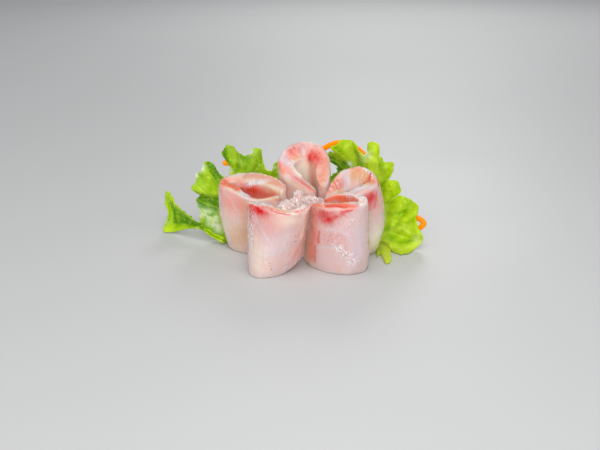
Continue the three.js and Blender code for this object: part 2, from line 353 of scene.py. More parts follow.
class Wiring:
    """A node tree, and short ways to add nodes and join them."""

    def __init__(self, tree: NodeTree) -> None:
        """Starts on the tree, emptied."""
        self.tree = tree
        self.tree.nodes.clear()

    def plug(self, socket: NodeSocket, value: object) -> None:
        """Gives an input a value, or links it to an output.

        Args:
            socket: the input.
            value: the value or the output.
        """
        if isinstance(value, NodeSocket):
            self.tree.links.new(value, socket)
        else:
            socket.default_value = value

    def node(self, kind: str, **inputs: object) -> Node:
        """Adds a node.

        Args:
            kind: the node's type.
            inputs: values or outputs by input name with _ for a space. in0, in1 and so on go by number, and what
                is no input is set on the node itself.

        Returns:
            The node.
        """
        node = self.tree.nodes.new(kind)
        later = []
        for key, value in inputs.items():
            if key.startswith("in") and key[2:].isdigit():
                later.append((int(key[2:]), value))
            elif key.replace("_", " ") in node.inputs:
                later.append((key.replace("_", " "), value))
            else:
                setattr(node, key, value)
        for key, value in later:
            self.plug(node.inputs[key], value)
        return node

    def attribute(self, name: str, output: str = "Fac") -> NodeSocket:
        """An attribute of the mesh."""
        return self.node("ShaderNodeAttribute", attribute_name=name).outputs[output]

    def place(self) -> NodeSocket:
        """The place in the piece's own frame."""
        return self.node("ShaderNodeTexCoord").outputs["Object"]

    def noise(self, vector: NodeSocket, scale: float, detail: float = 3, rough: float = 0.55,
              warp: float = 0.0) -> NodeSocket:
        """The value of a noise texture on a vector."""
        return self.node("ShaderNodeTexNoise", Vector=vector, Scale=scale, Detail=detail, Roughness=rough,
                         Distortion=warp).outputs["Fac"]

    def ramp(self, value: NodeSocket, low: float, high: float, start: float = 0.0, end: float = 1.0) -> NodeSocket:
        """A smooth step over a value, from start at low to end at high."""
        return self.node("ShaderNodeMapRange", interpolation_type="SMOOTHSTEP", in0=value, in1=low, in2=high,
                         in3=start, in4=end).outputs[0]

    def math(self, operation: str, *values: object) -> NodeSocket:
        """The result of one sum."""
        inputs = {f"in{k}": value for k, value in enumerate(values)}
        return self.node("ShaderNodeMath", operation=operation, **inputs).outputs[0]

    def times(self, first: object, second: object) -> NodeSocket:
        """One value times another."""
        return self.math("MULTIPLY", first, second)

    def plus(self, first: object, second: object) -> NodeSocket:
        """The sum of two values."""
        return self.math("ADD", first, second)

    def mix(self, share: object, first: object, second: object) -> NodeSocket:
        """One colour mixed into another."""
        return self.node("ShaderNodeMix", data_type="RGBA", in0=share, in6=first, in7=second).outputs[2]

    def stretch(self, vector: NodeSocket, scale: Sequence[float], turn: Sequence[float] = (0, 0, 0)) -> NodeSocket:
        """A vector turned and then stretched."""
        turned = self.node("ShaderNodeMapping", Vector=vector, Rotation=tuple(math.radians(a) for a in turn))
        return self.node("ShaderNodeMapping", Vector=turned.outputs[0], Scale=tuple(scale)).outputs[0]


class Shading(Wiring):
    """A material's nodes, round one Principled BSDF."""

    def __init__(self, tree: NodeTree) -> None:
        """Starts with the BSDF alone.

        Args:
            tree: the material's tree.
        """
        super().__init__(tree)
        self.shader = self.node("ShaderNodeBsdfPrincipled")
        self.plug(self.node("ShaderNodeOutputMaterial").inputs[0], self.shader.outputs[0])

    def feed(self, **values: object) -> None:
        """Sets or links the BSDF's own sockets, by name with _ for a space."""
        for key, value in values.items():
            self.plug(self.shader.inputs[key.replace("_", " ")], value)

    def wet(self, place: NodeSocket, crinkle: object, dry: float, relief: Sequence = (),
            bump: Sequence[float] = (0.5, 0.0006)) -> None:
        """Lays a film of water over the surface, and gives it its relief.

        Args:
            place: the place on the surface.
            crinkle: the share of crinkled skin.
            dry: how dry the surface is, from 0 to 1.
            relief: one more thing that stands out of the film, and how far.
            bump: the strength and the distance of the relief.
        """
        film = self.node("ShaderNodeGroup", node_tree=wet_film(), Place=place, Crinkle=crinkle, Dry=dry).outputs
        height = self.plus(film["Height"], self.times(*relief)) if relief else film["Height"]
        skin = self.node("ShaderNodeBump", Strength=bump[0], Distance=bump[1], Height=height)
        self.feed(Roughness=film["Roughness"], Normal=skin.outputs[0])


def tone(red: int, green: int, blue: int) -> tuple[float, float, float, float]:
    """Turns a colour as it looks on a screen into the shader's own values.

    Args:
        red: how red it is, from 0 to 255.
        green: how green, likewise.
        blue: how blue, likewise.

    Returns:
        The colour, with an alpha of 1.
    """
    parts = [v / 255 for v in (red, green, blue)]
    linear = [v / 12.92 if v <= 0.04045 else ((v + 0.055) / 1.055) ** 2.4 for v in parts]
    return (*linear, 1.0)


# The white of the painted sparkles.
WHITE = tone(255, 255, 255)


def wet_film() -> NodeTree:
    """The effect that the wet materials share, a film of water: patches of it, and the fine uneven skin on it.

    Returns:
        A node group, made once. It takes the place, the share of crinkled skin and how dry it is, and puts out a
        roughness and a height.
    """
    ready = bpy.data.node_groups.get("wet_film")
    if ready:
        return ready
    tree = bpy.data.node_groups.new("wet_film", "ShaderNodeTree")
    wiring = Wiring(tree)
    for name, kind, way in (("Place", "Vector", "INPUT"), ("Crinkle", "Float", "INPUT"), ("Dry", "Float", "INPUT"),
                            ("Roughness", "Float", "OUTPUT"), ("Height", "Float", "OUTPUT")):
        tree.interface.new_socket(name=name, in_out=way, socket_type=f"NodeSocket{kind}")
    place, crinkle, dry = (wiring.node("NodeGroupInput").outputs[k] for k in range(3))
    rough = wiring.ramp(wiring.noise(place, 140, 4, 0.6), 0.35, 0.7, 0.12, 0.34)
    rough = wiring.math("SUBTRACT", wiring.plus(rough, wiring.times(dry, 0.3)), wiring.times(crinkle, 0.1))
    skin = wiring.times(wiring.noise(place, 700, 3, 0.6), 0.22)
    beads = wiring.node("ShaderNodeTexVoronoi", Vector=place, Scale=1300.0).outputs["Distance"]
    height = wiring.plus(skin, wiring.times(beads, wiring.times(crinkle, 1.1)))
    wiring.node("NodeGroupOutput", Height=height, Roughness=wiring.node(
        "ShaderNodeClamp", Value=rough, Min=0.05, Max=0.9).outputs[0])
    return tree


@dataclass(frozen=True)
class Finish:
    """A finish: its name, and what a material is made from.

    Attributes:
        name: the material's name.
    """

    name: str

    def material(self) -> Material:
        """Makes the material on first use.

        Returns:
            The material.
        """
        ready = bpy.data.materials.get(self.name)
        if ready:
            return ready
        material = bpy.data.materials.new(self.name)
        material.use_nodes = True
        self.wire(Shading(material.node_tree))
        return material

    def wire(self, wiring: Shading) -> None:
        """Wires the shader's inputs.

        Args:
            wiring: the material's nodes.
        """
        raise NotImplementedError


@dataclass(frozen=True)
class FleshFinish(Finish):
    """Raw white fish: pale, wet and a little see-through, with blood-red and salmon where it was marked, painted
    sparkles, and painted shade and light in places.

    Attributes:
        pale: the plain flesh.
        milky: the whitish patches of it, also painted on as highlights and as light in shaded hollows.
        cream: the yellowish white parts, also painted on as light in shaded hollows and gaps.
        tan: the brownish parts, also painted on as shade below the mound and at the foot.
        salmon: the orange-pink parts, also painted on as light in shaded gaps.
        blood: the dark red parts.
        speck: the small dark specks.
    """

    pale: tuple = tone(227, 191, 182)
    milky: tuple = tone(222, 209, 217)
    cream: tuple = tone(246, 233, 214)
    tan: tuple = tone(224, 176, 138)
    salmon: tuple = tone(248, 118, 84)
    blood: tuple = tone(214, 24, 30)
    speck: tuple = tone(95, 50, 45)

    def wire(self, wiring: Shading) -> None:
        """Wires flesh: its mottled colour, the marks on it, some of which are painted light and shade, its painted
        sparkle and its specks.

        Args:
            wiring: the material's nodes.
        """
        flat = wiring.attribute("flat", "Vector")
        glint = wiring.attribute("glint")
        marks = wiring.node("ShaderNodeSeparateColor", in0=wiring.attribute("tint", "Color")).outputs
        fibres = wiring.noise(wiring.stretch(flat, (260, 900, 90), (0, 24, 0)), 1.6, 5, 0.62, 0.6)
        grain = wiring.noise(flat, 620, 4, 0.65)
        colour = wiring.mix(wiring.ramp(wiring.noise(flat, 130), 0.35, 0.7, 0.0, 0.35), self.pale, self.milky)
        colour = wiring.mix(wiring.ramp(fibres, 0.42, 0.75, 0.0, 0.25), colour, self.milky)
        for mark, shade, lift in ((wiring.attribute("cream"), self.cream, 0.5), (marks["Blue"], self.tan, 0.5),
                                  (marks["Green"], self.salmon, 0.62),
                                  (wiring.attribute("tint", "Alpha"), self.milky, 0.5),
                                  (marks["Red"], self.blood, 0.75)):
            edge = wiring.plus(wiring.times(wiring.plus(fibres, -0.5), lift),
                               wiring.times(wiring.plus(grain, -0.5), lift * 0.6))
            share = wiring.plus(wiring.times(mark, 1.15), wiring.times(edge, wiring.ramp(mark, 0.02, 0.3)))
            colour = wiring.mix(wiring.node("ShaderNodeClamp", Value=share).outputs[0], colour, shade)
        # Painted highlights: white sparkles mixed into the colour where the glint marks lie.
        sparkle = wiring.ramp(wiring.noise(flat, 1150, 2, 0.6, 0.5), 0.5, 0.58)
        colour = wiring.mix(wiring.times(sparkle, glint), colour, WHITE)
        colour = wiring.mix(wiring.ramp(wiring.attribute("speck"), 0.3, 0.8, 0.0, 0.85), colour, self.speck)
        wiring.wet(flat, glint, 0.15, (fibres, 0.3))
        wiring.feed(Base_Color=colour, Subsurface_Weight=0.75, Subsurface_Radius=(1.0, 0.55, 0.45),
                    Subsurface_Scale=0.008, Coat_Weight=0.35, Coat_Roughness=0.08, IOR=1.35,
                    Specular_IOR_Level=0.35)


@dataclass(frozen=True)
class LeafFinish(Finish):
    """Lettuce: yellow-green with pale veins, with painted shade in its folds and a painted whitish sheen.

    Attributes:
        light: the lit yellow-green.
        deep: the darker green, also the painted shade in the folds.
        vein: the pale veins.
        painted_sheen: the painted whitish sheen.
    """

    light: tuple = tone(196, 234, 0)
    deep: tuple = tone(84, 140, 0)
    vein: tuple = tone(218, 238, 84)
    painted_sheen: tuple = tone(235, 245, 225)

    def wire(self, wiring: Shading) -> None:
        """Wires leaf: its clouded green, its painted shade and painted sheen, and its veins.

        Args:
            wiring: the material's nodes.
        """
        place = wiring.place()
        marks = wiring.node("ShaderNodeSeparateColor", in0=wiring.attribute("tint", "Color")).outputs
        veins = wiring.attribute("vein")
        clouds = wiring.noise(place, 120, 4, 0.6)
        colour = wiring.mix(wiring.ramp(clouds, 0.3, 0.75, 0.0, 0.35), self.light, self.deep)
        # Painted shade: the darker green where the dark marks lie.
        colour = wiring.mix(marks["Red"], colour, self.deep)
        colour = wiring.mix(wiring.times(veins, 0.75), colour, self.vein)
        # Painted sheen: whitish patches where the whitish marks lie.
        painted_sheen = wiring.times(marks["Green"], wiring.ramp(clouds, 0.3, 0.6))
        colour = wiring.mix(painted_sheen, colour, self.painted_sheen)
        colour = wiring.mix(wiring.ramp(wiring.noise(place, 900, 3, 0.6), 0.4, 0.8, 0.0, 0.12), colour, self.vein)
        wiring.wet(place, 0.0, 0.5, (veins, -0.5))
        wiring.feed(Base_Color=colour, Subsurface_Weight=0.45, Subsurface_Radius=(0.7, 1.0, 0.1),
                    Subsurface_Scale=0.003, Coat_Weight=0.06, Coat_Roughness=0.15, IOR=1.35,
                    Specular_IOR_Level=0.25)


@dataclass(frozen=True)
class CarrotFinish(Finish):
    """Raw carrot, cut into strands.

    Attributes:
        bright: the cut flesh.
        deep: the streaks along it.
        cells: the paler grains in it.
    """

    bright: tuple = tone(255, 165, 0)
    deep: tuple = tone(255, 122, 0)
    cells: tuple = tone(255, 170, 40)

    def wire(self, wiring: Shading) -> None:
        """Wires carrot: its streaks, its cells, the light that wanders inside it and a painted glow in its own
        colour.

        Args:
            wiring: the material's nodes.
        """
        place = wiring.place()
        along = wiring.node("ShaderNodeUVMap").outputs[0]
        streaks = wiring.noise(wiring.stretch(along, (9, 40, 1)), 1.0, 4, 0.6, 0.3)
        colour = wiring.mix(wiring.ramp(streaks, 0.35, 0.7), self.bright, self.deep)
        cells = wiring.ramp(wiring.noise(place, 1100, 3, 0.6), 0.45, 0.8, 0.0, 0.25)
        colour = wiring.mix(cells, colour, self.cells)
        wiring.wet(place, 0.2, 0.4, (streaks, 0.4), (0.4, 0.0005))
        # Painted glow: the carrot gives off its own colour, though no lamp.
        wiring.feed(Base_Color=colour, Emission_Color=colour, Emission_Strength=0.2, Subsurface_Weight=0.4,
                    Subsurface_Radius=(1.0, 0.4, 0.1), Subsurface_Scale=0.002, Coat_Weight=0.05,
                    Coat_Roughness=0.12, Specular_IOR_Level=0.15)


@dataclass(frozen=True)
class ShredFinish(Finish):
    """Clear wet shreds: nearly colourless and glassy, with milky clouds, painted sparkles and a faint painted
    glow.

    Attributes:
        clear: the shreds between the clouds.
        milky: the clouds.
        glassy: how much light goes straight through.
        painted_glow: how strongly they glow as painted light, though no lamp.
        spark: the colour that the painted points of light on them glow with.
    """

    clear: tuple = tone(224, 201, 197)
    milky: tuple = tone(236, 218, 214)
    glassy: float = 0.25
    painted_glow: float = 0.12
    spark: tuple = (4.0, 4.0, 4.0, 1.0)

    def wire(self, wiring: Shading) -> None:
        """Wires shreds: their clouds, the painted points of light on them and their painted glow.

        Args:
            wiring: the material's nodes.
        """
        place = wiring.place()
        colour = wiring.mix(wiring.ramp(wiring.noise(place, 400, 4, 0.6), 0.35, 0.7), self.clear, self.milky)
        # Painted highlights: white sparkles mixed into the colour.
        sparkle = wiring.ramp(wiring.noise(place, 1100, 2, 0.6), 0.58, 0.64)
        sparkle = wiring.times(sparkle, wiring.ramp(wiring.noise(place, 260, 2, 0.5), 0.44, 0.56))
        colour = wiring.mix(sparkle, colour, WHITE)
        wiring.wet(place, 0.8, 0.0, bump=(0.35, 0.0004))
        # Painted glow: the shreds give off their own colour, and their sparkles brightly, though no lamp.
        wiring.feed(Base_Color=colour, Emission_Color=wiring.mix(sparkle, colour, self.spark),
                    Emission_Strength=self.painted_glow, Transmission_Weight=self.glassy, IOR=1.36, Coat_Weight=0.5,
                    Coat_Roughness=0.06, Subsurface_Weight=0.6, Subsurface_Radius=(1.0, 0.85, 0.8),
                    Subsurface_Scale=0.005)


@dataclass(frozen=True)
class FloorFinish(Finish):
    """A plain pale studio floor.

    Attributes:
        shade: its colour.
        cloud: the colour of the faint clouds on it.
    """

    shade: tuple = tone(205, 205, 204)
    cloud: tuple = tone(198, 198, 197)

    def wire(self, wiring: Shading) -> None:
        """Wires the floor.

        Args:
            wiring: the material's nodes.
        """
        clouds = wiring.noise(wiring.place(), 3, 3, 0.5)
        colour = wiring.mix(wiring.ramp(clouds, 0.3, 0.7, 0.0, 0.15), self.shade, self.cloud)
        wiring.feed(Base_Color=colour, Roughness=wiring.ramp(clouds, 0.3, 0.7, 0.5, 0.6))


# --- The slices ---


class Tint(Enum):
    """What a mark on the flesh is made of, by its column among the shares. Some tan marks are painted shade, some
    salmon, milky and cream marks are painted light in shaded hollows, and glint marks carry painted sparkles over
    crinkled skin.
    """

    BLOOD = 0
    SALMON = 1
    TAN = 2
    MILKY = 3
    CREAM = 4
    GLINT = 5
    DARK = 6


@dataclass
class Blank:
    """The flat slab of fish that every slice is folded from, modelled once.

    Attributes:
        length: its length.
        height: its height.
        thickness: its thickness.
        rounding: the radius of its edges.
        step: the size of one face.
    """

    length: float = 80.0
    height: float = 30.0
    thickness: float = 5.2
    rounding: float = 1.3
    step: float = 0.55

    def cut(self) -> Object:
        """Models the slab.

        Returns:
            The slab, with its middle at the origin, in millimetres.
        """
        Bench.clear()
        bpy.ops.mesh.primitive_cube_add(size=1)
        slab = bpy.context.object
        bpy.ops.object.mode_set(mode="EDIT")
        bpy.ops.mesh.select_all(action="SELECT")
        bpy.ops.transform.resize(value=(self.length, self.thickness, self.height))
        bpy.ops.mesh.bevel(offset=self.rounding, segments=6, profile=0.5, affect="EDGES")
        for normal, size in (((1, 0, 0), self.length), ((0, 0, 1), self.height), ((0, 1, 0), self.thickness)):
            inner = size / 2 - self.rounding
            count = max(1, round(2 * inner / self.step))
            for k in range(1, count):
                bpy.ops.mesh.select_all(action="SELECT")
                at = -inner + 2 * inner * k / count
                bpy.ops.mesh.bisect(plane_co=[n * at for n in normal], plane_no=normal)
        bpy.ops.object.mode_set(mode="OBJECT")
        return slab


# The flesh swells and is wrinkled, its edges are ragged and the cut ones frayed.
SWELL = Grain(0.45, (14, 1e3, 10), 1, 3)
WRINKLES = Grain(0.12, (3, 6, 2.2), 2, 3)
RAGGED = Grain(0.35, (4, 3, 1e3), 3, 3)
FRAYED = Grain(1.0, 1.7, 4)


@dataclass
class Slice:
    """One slice of fish, folded round a hollow and stood on its long edge.

    Attributes:
        side: where it is, in its own name and that of the CAD node that it stands for.
        thickness: its thickness, as values evenly along it.
        belly: how far the fold bows out at half height.
        rise: how far the cut face of the crest slopes up towards the back, likewise.
        crest: its upper edge, through the middle of the thickness, with the hollow on the left.
        foot: its lower edge, likewise.
        seed: another value gives other unevenness.
        dish: how far the cut face of the crest sinks in the middle.
        fray: how rough the edges of the crest and the first end are, in millimetres.
        tight: the share of the fold's radius that its inner side fills before it is squeezed.
        marks: the spots and lines on it.
    """

    side: str
    thickness: Sequence[float]
    belly: float
    rise: Sequence[float]
    crest: Path
    foot: Path
    seed: float
    dish: float = 0.6
    fray: Sequence[float] = (0.25, 0.2)
    tight: float = 0.6
    marks: list[Mark] = field(default_factory=list)

    def mark(self, tint: Tint, *rows: Sequence[float], raised: float = 0.0) -> None:
        """Puts marks of one tint on the slice.

        Args:
            tint: what they are made of.
            rows: one for each mark: its strength, a line's one reach or a spot's two, and the places on it.
            raised: how far the flesh stands out there, in millimetres.
        """
        for strength, *rest in rows:
            path = 1 if len(rest) % 2 else 2
            self.marks.append(Mark(tint, strength, raised, rest[:path], np.reshape(rest[path:], (-1, 2))))

    def fold(self, t: Array, up: Array, share: Array, across: Array) -> Array:
        """Folds flat places round the slice.

        Args:
            t: how far along the slice each place is, from 0 to 1.
            up: how high it is, from -1 at the foot to 1 at the crest.
            share: its place through the thickness, from -1 inside to 1 outside.
            across: how far it is from the middle of the thickness, to the outside, in millimetres.

        Returns:
            The places, one row each.
        """
        crest, foot = Curve(self.crest), Curve(self.foot)
        low, high = foot.at(t), crest.at(t)
        half = (high - low) / 2
        along = crest.heading(t) + foot.heading(t)
        along[:, 2] = 0
        along /= np.linalg.norm(along, axis=1, keepdims=True)
        out = np.stack([along[:, 1], -along[:, 0], np.zeros(len(t))], 1)
        room = self.room(t, up)
        past, left = -across / room - self.tight, 1 - self.tight
        across = np.where(past > 0, -room * (1 - left * np.exp(-np.maximum(past, 0) / left)), across)
        bow = self.belly * (1 - np.minimum(up**2, 1)) * np.sin(math.pi * t) ** 2
        places = low + half + half * up[:, None] + out * (across + bow)[:, None]
        places[:, 2] += along_it(self.rise, t) * out[:, 1] * across * (up + 1) / 2
        places[:, 2] -= self.dish * (1 - share**2) * smooth(0.75, 1.0, up)
        places[:, 2] = np.maximum(places[:, 2], 0)
        return places

    def room(self, t: Array, up: Array) -> Array:
        """How far inwards a place may lie before the fold crosses itself there.

        Args:
            t: how far along the slice each place is, from 0 to 1.
            up: how high it is, from -1 at the foot to 1 at the crest.

        Returns:
            The radius of the fold at each place, in millimetres, and a large value where it is straight.
        """
        high = ((np.clip(up, -1, 1) + 1) / 2)[:, None]
        near = 0.02
        before, here, after = (Curve(self.foot).at(t + s) * (1 - high) + Curve(self.crest).at(t + s) * high
                               for s in (-near, 0.0, near))
        came, goes = (here - before)[:, :2], (after - here)[:, :2]
        turn = np.arctan2(came[:, 0] * goes[:, 1] - came[:, 1] * goes[:, 0], np.sum(came * goes, axis=1))
        length = np.linalg.norm(after - before, axis=1) / 2
        least_turn, least_length, straight = 0.02, 0.2, 100.0
        radius = np.maximum(length, least_length) / np.maximum(turn, least_turn)
        return np.where(turn > least_turn, radius, straight)

    def unroll(self, t: Array, round_it: Array) -> Array:
        """Lays places on the skin out flat.

        Args:
            t: how far along the slice each is.
            round_it: how far round its section each is, from 0 to 3.

        Returns:
            One row for each: the distance along and the distance round, in millimetres.
        """
        length = (Curve(self.crest).length() + Curve(self.foot).length()) / 2
        height = float(np.mean(np.array(self.crest)[:, 2]))
        over = along_it(self.thickness, t) * np.clip(round_it - 1, 0, 1)
        faces = np.minimum(round_it, 1) + np.maximum(round_it - 2, 0)
        return np.column_stack([t * length, height * faces + over])

    def paint(self, blank: Blank, flat: Array, t: Array) -> Array:
        """Lays the marks on the slice.

        Args:
            blank: the slab's sizes.
            flat: the places on the flat slab, in millimetres.
            t: how far along each is.

        Returns:
            One row for each place: the share of each tint, and last how far the flesh stands out.
        """
        half, top = blank.thickness / 2, blank.height / 2
        outer = flat[:, 1] >= 0
        way = np.where(outer, flat[:, 2] + top + half - flat[:, 1], 3 * top + half - flat[:, 2] - flat[:, 1])
        over = np.clip((way - blank.height) / blank.thickness, 0, 1)
        down = np.maximum(way - blank.height - blank.thickness, 0)
        skin = self.unroll(t, np.minimum(way / blank.height, 1) + over + down / blank.height)
        shares = np.ones((len(t), len(Tint)))
        raised = np.zeros(len(t))
        for mark in self.marks:
            share = mark.share(skin, self.unroll(*mark.path.T))
            shares[:, mark.kind.value] *= 1 - np.clip(mark.strength * share, 0, 1)
            raised += mark.raised * share
        return np.column_stack([1 - shares, raised])

    def build(self, blank: Blank, slab: Object) -> Object:
        """Folds a copy of the slab into the slice.

        Args:
            blank: the slab's sizes.
            slab: the slab.

        Returns:
            The finished piece.
        """
        piece = Bench.add(f"{self.side}_slice", slab.data.copy())
        piece.data.name = piece.name
        flat = Bench.points(piece)
        t = np.clip(flat[:, 0] / blank.length + 0.5, 0, 1)
        up = flat[:, 2] / (blank.height / 2)
        share = flat[:, 1] / (blank.thickness / 2)
        to_end = np.minimum(t, 1 - t) * Curve(self.crest).length()
        thinner, thin_reach = 0.4, 5.0
        thin = 1 - thinner * np.clip(1 - to_end / thin_reach, 0, 1) ** 2
        painted = self.paint(blank, flat, t)
        apart = 41.0
        shifted = flat + self.seed * apart
        swell = SWELL.at(shifted, self.seed) + WRINKLES.at(shifted, self.seed)
        fray = self.fray[0] * smooth(0.85, 1.0, up) + self.fray[1] * smooth(0.06, 0.0, t)
        swell += fray * FRAYED.at(shifted, self.seed)
        across = share * along_it(self.thickness, t) / 2 * thin + swell + painted[:, -1] * np.sign(share)
        up = up + RAGGED.at(shifted, self.seed) / (blank.height / 2) * smooth(0.6, 1.0, np.abs(up))
        Bench.place(piece, self.fold(t, up, share, across))
        Bench.keep(piece, "flat", "FLOAT_VECTOR", shifted * MM)
        Bench.keep(piece, "tint", "FLOAT_COLOR", painted[:, :4])
        for name, tint in (("cream", Tint.CREAM), ("glint", Tint.GLINT), ("speck", Tint.DARK)):
            Bench.keep(piece, name, "FLOAT", painted[:, tint.value])
        Bench.close(piece)
        return piece


def slices() -> list[Slice]:
    """The five slices with their marks.

    Returns:
        The slices, front to back.
    """
    # Among the marks, some tan ones are painted shade, some salmon, milky and cream ones are painted light in
    # shaded hollows and gaps, and the glint ones carry painted sparkles.
    front_left = Slice(
        "front_left", belly=1, seed=1, thickness=[4.6, 4.6],
        rise=[0.1, 0.35, 0.35, 0.3, 0.1],
        crest=[[-22, -1.5, 28.4], [-20.7, -8, 29.6], [-17.5, -14, 30.4], [-13.5, -18, 30.4],
               [-8.5, -20.5, 29.4], [-3.5, -19.5, 28.8], [0.5, -15, 28.6], [2.3, -9.5, 28.4], [2.3, -5.5, 28]],
        foot=[[-20, -13.5, 0], [-20, -19, -0.5], [-17.8, -22.9, -0.6], [-14, -22.8, -0.6], [-9.5, -19.5, -0.4],
              [-5.7, -15, 1], [-3, -11, 2.5], [-1.5, -8, 3.5], [-1, -5, 4]],
    )
    front_left.mark(
        Tint.BLOOD, (0.4, 4, 2, 0.5, 2.15), (0.95, 4.7, 2.1, 0.269, 0.96),
        (0.45, 0.7, 0.178, 0.88, 0.199, 0.77), (0.2, 0.4, 0.204, 0.69, 0.191, 0.52), (0.2, 6, 5, 0.355, 0.84),
        (0.85, 0.4, 0.409, 1.23, 0.493, 1.04, 0.574, 0.99), (0.8, 0.4, 0.65, 1.49, 0.727, 1.4, 0.864, 1.15),
        (0.25, 2.4, 3.8, 0.185, 0.83))
    front_left.mark(
        Tint.SALMON, (0.4, 6, 5, 0.3, 2.3), (0.8, 3.5, 2.7, 0.185, 0.96), (0.12, 6.4, 5.7, 0.295, 0.7),
        (0.6, 0.8, 0.286, 1.38, 0.43, 1.57, 0.528, 1.32), (0.5, 0.9, 0.656, 1.19, 0.742, 1.15),
        (0.3, 2.5, 2.9, 0.664, 0.27), (0.12, 4, 7, 0.727, 0.47))
    front_left.mark(Tint.TAN, (0.8, 1.1, 0.444, 1.78, 0.553, 1.8, 0.632, 1.79))
    front_left.mark(
        Tint.MILKY, (0.7, 1, 0.108, 1.33, 0.162, 1.86, 0.323, 1.78),
        (0.35, 0.4, 0.35, 0.96, 0.418, 0.91, 0.473, 0.84), (0.35, 5.6, 5.9, 0.416, 0.45),
        (0.3, 5.8, 4.7, 0.547, 0.52))
    front_left.mark(Tint.MILKY, (0.9, 0.4, 0.241, 0.87, 0.307, 0.73, 0.377, 0.58), raised=0.05)
    front_left.mark(
        Tint.CREAM, (0.5, 9, 7, 0.5, 2.6), (0.42, 7.4, 2.3, 0.549, 0.87), (0.45, 4.4, 7.1, 0.279, 0.34),
        (0.7, 1.8, 0.74, 0.96, 0.755, 0.75, 0.735, 0.54))
    front_left.mark(Tint.GLINT, (1, 1, 0.108, 1.28, 0.162, 1.86, 0.301, 1.85), (0.85, 2.7, 8.1, 0.189, 0.68))
    front_left.mark(
        Tint.DARK, (0.6, 0.6, 0.4, 0.418, 0.95), (0.8, 0.5, 0.6, 0.781, 0.86), (0.5, 0.4, 0.4, 0.481, 0.82),
        (0.7, 0.9, 0.4, 0.638, 0.59), (0.7, 1, 0.6, 0.644, 0.5), (0.5, 0.4, 0.4, 0.5, 0.58),
        (0.6, 0.6, 0.5, 0.506, 0.36), (0.6, 0.4, 0.4, 0.604, 0.18), (0.6, 0.5, 0.4, 0.397, 0.34),
        (0.7, 0.6, 0.5, 0.398, 0.24), (0.8, 0.5, 0.4, 0.41, 0.2), (0.8, 0.5, 0.5, 0.418, 0.15))
    front_right = Slice(
        "front_right", belly=0.6, seed=2,
        thickness=[4.4, 4.8, 4.8, 4.3, 4], rise=[0.2, 0.4, 0.4, 0.2, -0.2, -0.2],
        crest=[[5.2, -1.7, 28], [7.6, -8, 29.6], [11.3, -15, 30.6], [17.5, -18.5, 31.4], [23.5, -17.8, 31.6],
               [27, -13, 31], [27, -7, 31.6], [22, -3.8, 32.8], [16, -3.6, 32], [10.6, -3.3, 30.2]],
        foot=[[3.4, -0.3, 1], [4.6, -4.6, 0.4], [9, -11.5, -0.4], [15.5, -17, -0.6], [22, -18.2, -0.6],
              [27, -13.5, -0.6], [26.5, -6.5, 0], [21.5, -3.6, 0.6], [16, -3.5, 1], [10.6, -3.3, 1.5]],
    )
    front_right.mark(
        Tint.BLOOD, (0.6, 0.8, 0.251, 1.32, 0.315, 1.4, 0.379, 1.16), (0.7, 1.7, 0.4, 0.388, 0.97),
        (0.4, 1.5, 1.3, 0.357, 0.91), (0.12, 3.4, 2.7, 0.378, 0.88), (0.75, 2.5, 2.4, 0.279, 0.82),
        (0.25, 4.7, 1.6, 0.261, 0.91), (0.6, 3, 3, 0.226, 0.86), (0.5, 0.9, 0.285, 0.83, 0.329, 0.88),
        (0.6, 0.6, 0.357, 0.95, 0.411, 0.96), (0.45, 2.2, 1, 0.261, 0.93), (0.6, 0.5, 0.221, 0.61, 0.221, 0.44),
        (0.55, 0.5, 0.199, 0.36, 0.203, 0.12), (0.22, 3.9, 2.7, 0.301, 0.55), (0.1, 6.2, 6.3, 0.35, 0.6),
        (0.07, 6.7, 3.9, 0.391, 0.22))
    front_right.mark(
        Tint.SALMON, (0.4, 7, 4, 0.8, 0.75), (0.95, 1.8, 0.12, 1, 0.254, 1.5, 0.362, 1.58, 0.446, 1.13),
        (0.5, 2.5, 0.143, 0.88, 0.159, 0.66, 0.175, 0.45, 0.17, 0.18), (0.06, 6.3, 1.8, 0.336, 0.09),
        (0.9, 1.6, 0.986, 2.05, 0.905, 2.05, 0.795, 2.09), (0.6, 1.8, 0.842, 2.11, 0.665, 2.06),
        (0.35, 0.5, 0.979, 1.22, 0.896, 1.88, 0.776, 1.77))
    front_right.mark(
        Tint.TAN, (0.6, 2.7, 0.109, 0.43, 0.116, 0.24, 0.142, 0.03), (0.5, 2.2, 0.842, 2.11, 0.665, 2.06))
    front_right.mark(
        Tint.MILKY, (0.5, 0.2, 0.322, 0.95, 0.365, 0.88, 0.404, 0.78),
        (0.5, 0.2, 0.343, 0.82, 0.377, 0.89, 0.418, 0.94), (0.5, 3.4, 10.7, 0.465, 0.53),
        (0.35, 3.6, 2.5, 0.378, 0.65), (0.4, 3.3, 3.6, 0.424, 0.24), (0.45, 2.5, 3.3, 0.472, 0.96),
        (0.18, 6.7, 2.9, 0.39, 0.31), (0.6, 0.7, 0.334, 0.44, 0.357, 0.4),
        (0.4, 1.3, 0.768, 2.05, 0.717, 1.43, 0.657, 1.13))
    front_right.mark(
        Tint.MILKY, (0.6, 0.5, 0.68, 0.4, 0.8, 0.55, 0.92, 0.5),
        (0.8, 0.4, 0.251, 0.66, 0.307, 0.68, 0.356, 0.66, 0.397, 0.6, 0.423, 0.51),
        (0.8, 0.4, 0.211, 0.35, 0.28, 0.4, 0.341, 0.44), raised=0.05)
    front_right.mark(Tint.CREAM, (0.5, 8, 7, 0.8, 0.3), (0.6, 2.2, 0.095, 0.85, 0.075, 0.61))
    front_right.mark(
        Tint.GLINT, (0.22, 6.2, 6, 0.316, 0.58), (0.3, 2.9, 4, 0.417, 0.8),
        (0.9, 1.8, 0.341, 0.45, 0.389, 0.32, 0.437, 0.23), (1, 1.2, 0.795, 2.05, 0.733, 1.5, 0.678, 1.14))
